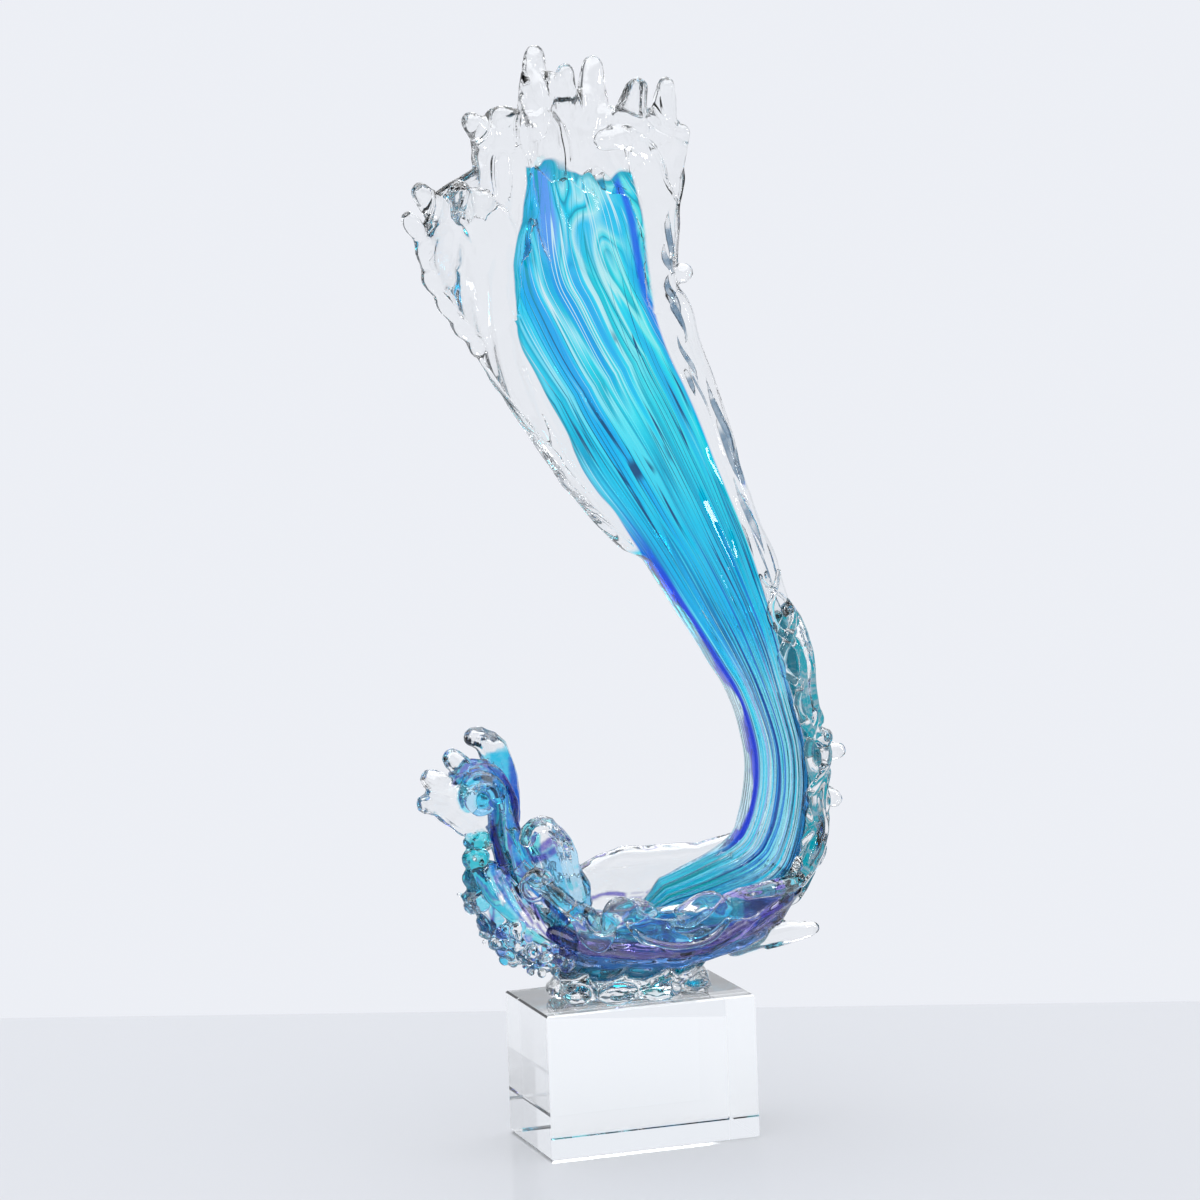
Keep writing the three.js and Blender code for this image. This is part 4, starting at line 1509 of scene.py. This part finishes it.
def wave_spots(points, steps):
    return resample(np.array(points, float), steps) * mm + np.array((0, 0, wave_base))


for points, height, depth, tint in ruffles:
    trough_bits.ribbon(wave_spots(points, 60), height * mm, depth * mm, tint)
trough_bits.strand(wave_spots(ruffle_hem, 50), np.full(50, hem_radius), "clear")
print("ribbons of the ruffle:", len(ruffles))

# %% [markdown]
# The foot was pinched all round into fat clear lobes. Dark teal and blue glass runs down between them
# from the trough. A lobe is a squashed bead, and a run is a strand.

# %% Lobes of the foot
dice = np.random.default_rng(11)
foot_low, foot_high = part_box("foot_gather")
lobe_count = 9
lobe_deep = 5.5 * mm
collar_radius = 5 * mm
run_tints = ["deep", "teal", "deep", "teal"]


def foot_spot(turn, reach, height):
    return (foot_high[0] * reach * np.cos(turn), foot_high[1] * reach * np.sin(turn), foot_low[2] + height)


for index in range(lobe_count):
    turn = 2 * pi * (index + 0.3 * dice.random()) / lobe_count
    wide = (12 + 3 * dice.random()) * mm
    tall = (5.4 + dice.random()) * mm
    size_x = np.hypot(wide * np.sin(turn), lobe_deep * np.cos(turn))
    size_y = np.hypot(wide * np.cos(turn), lobe_deep * np.sin(turn))
    trough_bits.bead(foot_spot(turn, 0.94, tall - mm), (size_x, size_y, tall), "clear")
    steps = np.linspace(0, 1, 12)
    run = [foot_spot(turn + pi / lobe_count, 0.84 + 0.12 * step, (26 - 14 * step) * mm) for step in steps]
    trough_bits.strand(run, (4.0 - 2.8 * steps) * mm, run_tints[index % len(run_tints)])
    sweeps = np.linspace(-0.42, 0.42, 12)
    collar = [foot_spot(turn + sweep, 0.93, (19.5 + 2 * np.sin(6 * sweep)) * mm) for sweep in sweeps]
    trough_bits.strand(collar, np.full(12, collar_radius), "deep")


print("lobes laid:", lobe_count)

# %% [markdown]
# Under the tail a thumb of clear glass was pulled out. It is one strand that swells and then ends
# bluntly.

# %% Thumb of the tail
tail_line = [(74, -18, 1), (84, -17, 4), (94, -16, 6), (102, -15, 8), (106, -14.5, 9)]
tail_radii = np.interp(np.linspace(0, 1, 24), [0, 0.3, 0.75, 0.93, 1], [2, 4, 4.6, 3.6, 1.2]) * mm
trough_bits.strand(wave_spots(tail_line, 24), tail_radii, "clear")
print("thumb points:", len(tail_line))

# %% [markdown]
# Bowl, ruffle, trails, foot and thumb melt into one boat. The foot was ground flat afterwards, so no
# point may lie lower than the ground face.

# %% Fuse the trough
trough_voxel = 0.95 * mm
ground_gap = 0.05 * mm
trough = trough_bits.fuse("trough_boat", trough_voxel, 4)
wobble(trough, 1.0 * mm, 13 * mm, 2.0)
ground = foot_low[2] + ground_gap
for vert in trough.data.vertices:
    vert.co.z = max(vert.co.z, ground)
tint_piece(trough, trough_bits, 0.14, 0.30)
finish_piece(trough, swirl_finish, trough_names)

# %% [markdown]
# ## Splash
# The small wave at the left end curls over a ring and throws up clear lobes. Its colours lie in steep
# streaks, so its tints are picked by noise that is stretched upwards. The foam's own trails are drawn
# in a little, to leave room for the bubbles on them.

# %% Splash
splash_names = like("splash_", "foam_")
splash_bits = HotBits()


def splash_tint(spot):
    x, y, z = spot.x / mm, spot.y / mm, (spot.z - wave_base) / mm
    streak = noise.noise(Vector((x / 5, y / 9, z / 40))) + 0.3 * noise.noise(Vector((x / 3, y / 4, z / 9)))
    if z < 40 and streak < 0.05:
        return "clear"
    levels = [(0.28, "aqua"), (0.10, "violet"), (-0.08, "cobalt"), (-0.25, "teal")]
    return next((tint for level, tint in levels if streak > level), "turquoise")


def horn_tint(spot):
    x, z = spot.x / mm, (spot.z - wave_base) / mm
    if z > 120 or x < -74:
        return "clear"
    return "cobalt" if x > -63 else "aqua"


def hump_tint(spot):
    x, z = spot.x / mm, (spot.z - wave_base) / mm
    above = z - 58 - 0.61 * (x + 63)
    if abs(above) < 2.5:
        return "violet"
    if above > 0:
        return "turquoise" if x < -54 else "clear"
    if x < -53:
        return "clear"
    return "aqua" if noise.noise(Vector((x / 6, 0, z / 9))) > 0.15 else "sky"


splash_paint = {"splash_root": splash_tint, "splash_stem": splash_tint, "splash_horn": horn_tint,
                "splash_hump": hump_tint, "splash_curl": "aqua", "splash_side_knobs": "turquoise",
                "foam_trail_edge": "clear"}
for name in splash_names:
    splash_bits.node(name, splash_paint.get(name), swell=(-1.5 if "foam" in name else 0.4) * mm)
print("splash bits:", len(splash_names))

# %% [markdown]
# Strands of several colours were trailed side by side up the stem. They are one line, shifted sideways
# for each strand, and they draw together towards the tip.

# %% Strands of the splash
stem_line = [
    (-38, -14, 24), (-52, -13, 38), (-64, -12, 56), (-71, -11, 78),
    (-72, -10, 96), (-78, -9, 109), (-89, -9, 112), (-98, -9, 107),
]
strand_gap = 3.6
strand_paint = ["violet", "aqua", "cobalt", "clear", "teal", "violet"]
for index, tint in enumerate(strand_paint):
    beside = strand_gap * (index - 0.5 * (len(strand_paint) - 1)) * mm
    line = wave_spots(stem_line, 50)
    spread = np.linspace(1, 0.25, 50)
    line[:, 0] -= beside * spread
    line[:, 2] -= 0.6 * beside * spread
    line[:, 1] += 1.5 * mm * np.sin(np.linspace(0, 9, 50) + 1.7 * index)
    splash_bits.strand(line, (2.6 - 1.2 * np.linspace(0, 1, 50)) * mm, tint)


print("strands of the stem:", len(strand_paint))

# %% [markdown]
# A ring lies under the curl, and a thinner loop lies below it. Both are strands bent nearly full
# circle. At the root, thick strands run down into the trough, each a little beside the last.

# %% Ring, loop and root
ring_middle = (-86, -19, 98)
loop_middle = (-59, -24, 49)


def bent_strand(bits, middle, radius, thick, thin, tint):
    x, y, z = middle
    turns = np.linspace(0, 1.8 * pi, 40)
    ring = [(x + radius * np.cos(turn), y, z + radius * np.sin(turn)) for turn in turns]
    bits.strand(wave_spots(ring, 40), np.linspace(thick, thin, 40) * mm, tint)


bent_strand(splash_bits, ring_middle, 7.0, 3.0, 2.0, "sky")
splash_bits.bead(wave_spots([ring_middle, ring_middle], 2)[0], (5 * mm, 3 * mm, 5 * mm), "aqua")
bent_strand(splash_bits, loop_middle, 7.5, 2.6, 1.8, "clear")
root_paint = ["turquoise", "clear", "cobalt", "clear", "violet", "clear", "violet"]
for index, tint in enumerate(root_paint):
    root_line = [(-91 + 4 * index, -13, 66 - 3 * index), (-82 + 5 * index, -19, 44 - 4 * index),
                 (-66 + 4 * index, -22, 26 - 3 * index), (-50 + 2 * index, -24, 14 - index)]
    splash_bits.strand(wave_spots(root_line, 30), np.linspace(3.6, 2.0, 30) * mm, tint)
print("strands of the root:", len(root_paint))

# %% [markdown]
# Below the splash runs a trail of foam: dozens of small bubbles of glass. Each is a bead, set on a
# face of the trail that is picked by seeded dice, so that every run lays the same foam.

# %% Foam
def foam(bits, name, count, paint):
    trail = gather(name)
    trail.faces.ensure_lookup_table()
    for index in range(count):
        face = trail.faces[int(dice.integers(len(trail.faces)))]
        size = (1.2 + 2.6 * dice.random() ** 2) * mm
        shift = Vector(dice.normal(0, 1.6 * mm, 3))
        bits.bead(face.calc_center_median() + shift, (size, size, size), paint[index % len(paint)])
    trail.free()


foam_plan = [
    ("foam_trail_edge", 70, ["clear", "aqua", "clear", "clear", "clear", "cobalt"]),
    ("foam_trail_front", 70, ["clear", "clear", "clear", "clear", "cobalt"]),
    ("splash_side_knobs", 20, ["aqua", "clear", "turquoise"]),
]
splash_voxel = 0.75 * mm
for name, count, paint in foam_plan:
    foam(splash_bits, name, count, paint)
splash = splash_bits.fuse("splash_group", splash_voxel, 3)
wobble(splash, 1.2 * mm, 10 * mm, 4.0)
tint_piece(splash, splash_bits, 0.08, 0.20)
finish_piece(splash, swirl_finish, splash_names)

# %% [markdown]
# ## Block and bond
# The block is cut and polished crystal, so the frame's own block is kept and only gets its finish.
# Crystal is nearly colourless, with faint cords in the melt, and its faces are far flatter than the
# hot glass.

# %% Block
crystal_ripple = (25.0, 0.02 * mm)
crystal_tints = [(0.985, 0.995, 0.995), (0.975, 0.99, 0.995)]


def crystal_glass():
    material, tree, shader = new_glass("crystal", *crystal_ripple)
    place = add(tree, "TexCoord").outputs["Object"]
    cord = add(tree, "TexNoise", {"Vector": place, "Scale": 8.0, "Detail": 1.0}).outputs["Fac"]
    color = mix(tree, cord, *map(opaque, crystal_tints))
    tree.links.new(color, shader.inputs["Base Color"])
    return material


crystal_finish = crystal_glass()
nodes["crystal_block"].data.materials.clear()
nodes["crystal_block"].data.materials.append(crystal_finish)
print("block finished")

# %% [markdown]
# The adhesive was pressed out to an uneven edge: a circle is laid out, its rim is pushed in and out,
# and it is given its thickness. It keeps a hair's breadth off the block, so that the two faces don't
# flicker.

# %% Bond
film_low, film_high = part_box("bond_film")
film_gap = 0.02 * mm
film = bmesh.new()
bmesh.ops.create_circle(film, cap_ends=True, segments=96, radius=1.0)
for vert in film.verts:
    pressed = 0.97 + 0.03 * noise.noise(4 * vert.co)
    x = film_high[0] * pressed * vert.co.x
    y = film_high[1] * pressed * vert.co.y
    vert.co = Vector((x, y, film_low[2] + film_gap))
risen = bmesh.ops.extrude_face_region(film, geom=film.faces[:])
rise = Vector((0, 0, film_high[2] - film_low[2] - 2 * film_gap))
upper = [item for item in risen["geom"] if isinstance(item, bmesh.types.BMVert)]
bmesh.ops.translate(film, verts=upper, vec=rise)
bmesh.ops.recalc_face_normals(film, faces=film.faces)
bond = piece_from(film, "bond")
finish_piece(bond, crystal_finish, ["bond_film"])

# %% [markdown]
# Light crosses many skins here, so the renderer may follow it through many bounces. With fewer, the
# glass would turn black inside.

# %% Bounces and view
scene.cycles.max_bounces = 32
scene.cycles.transmission_bounces = 28
scene.view_settings.view_transform = "Standard"
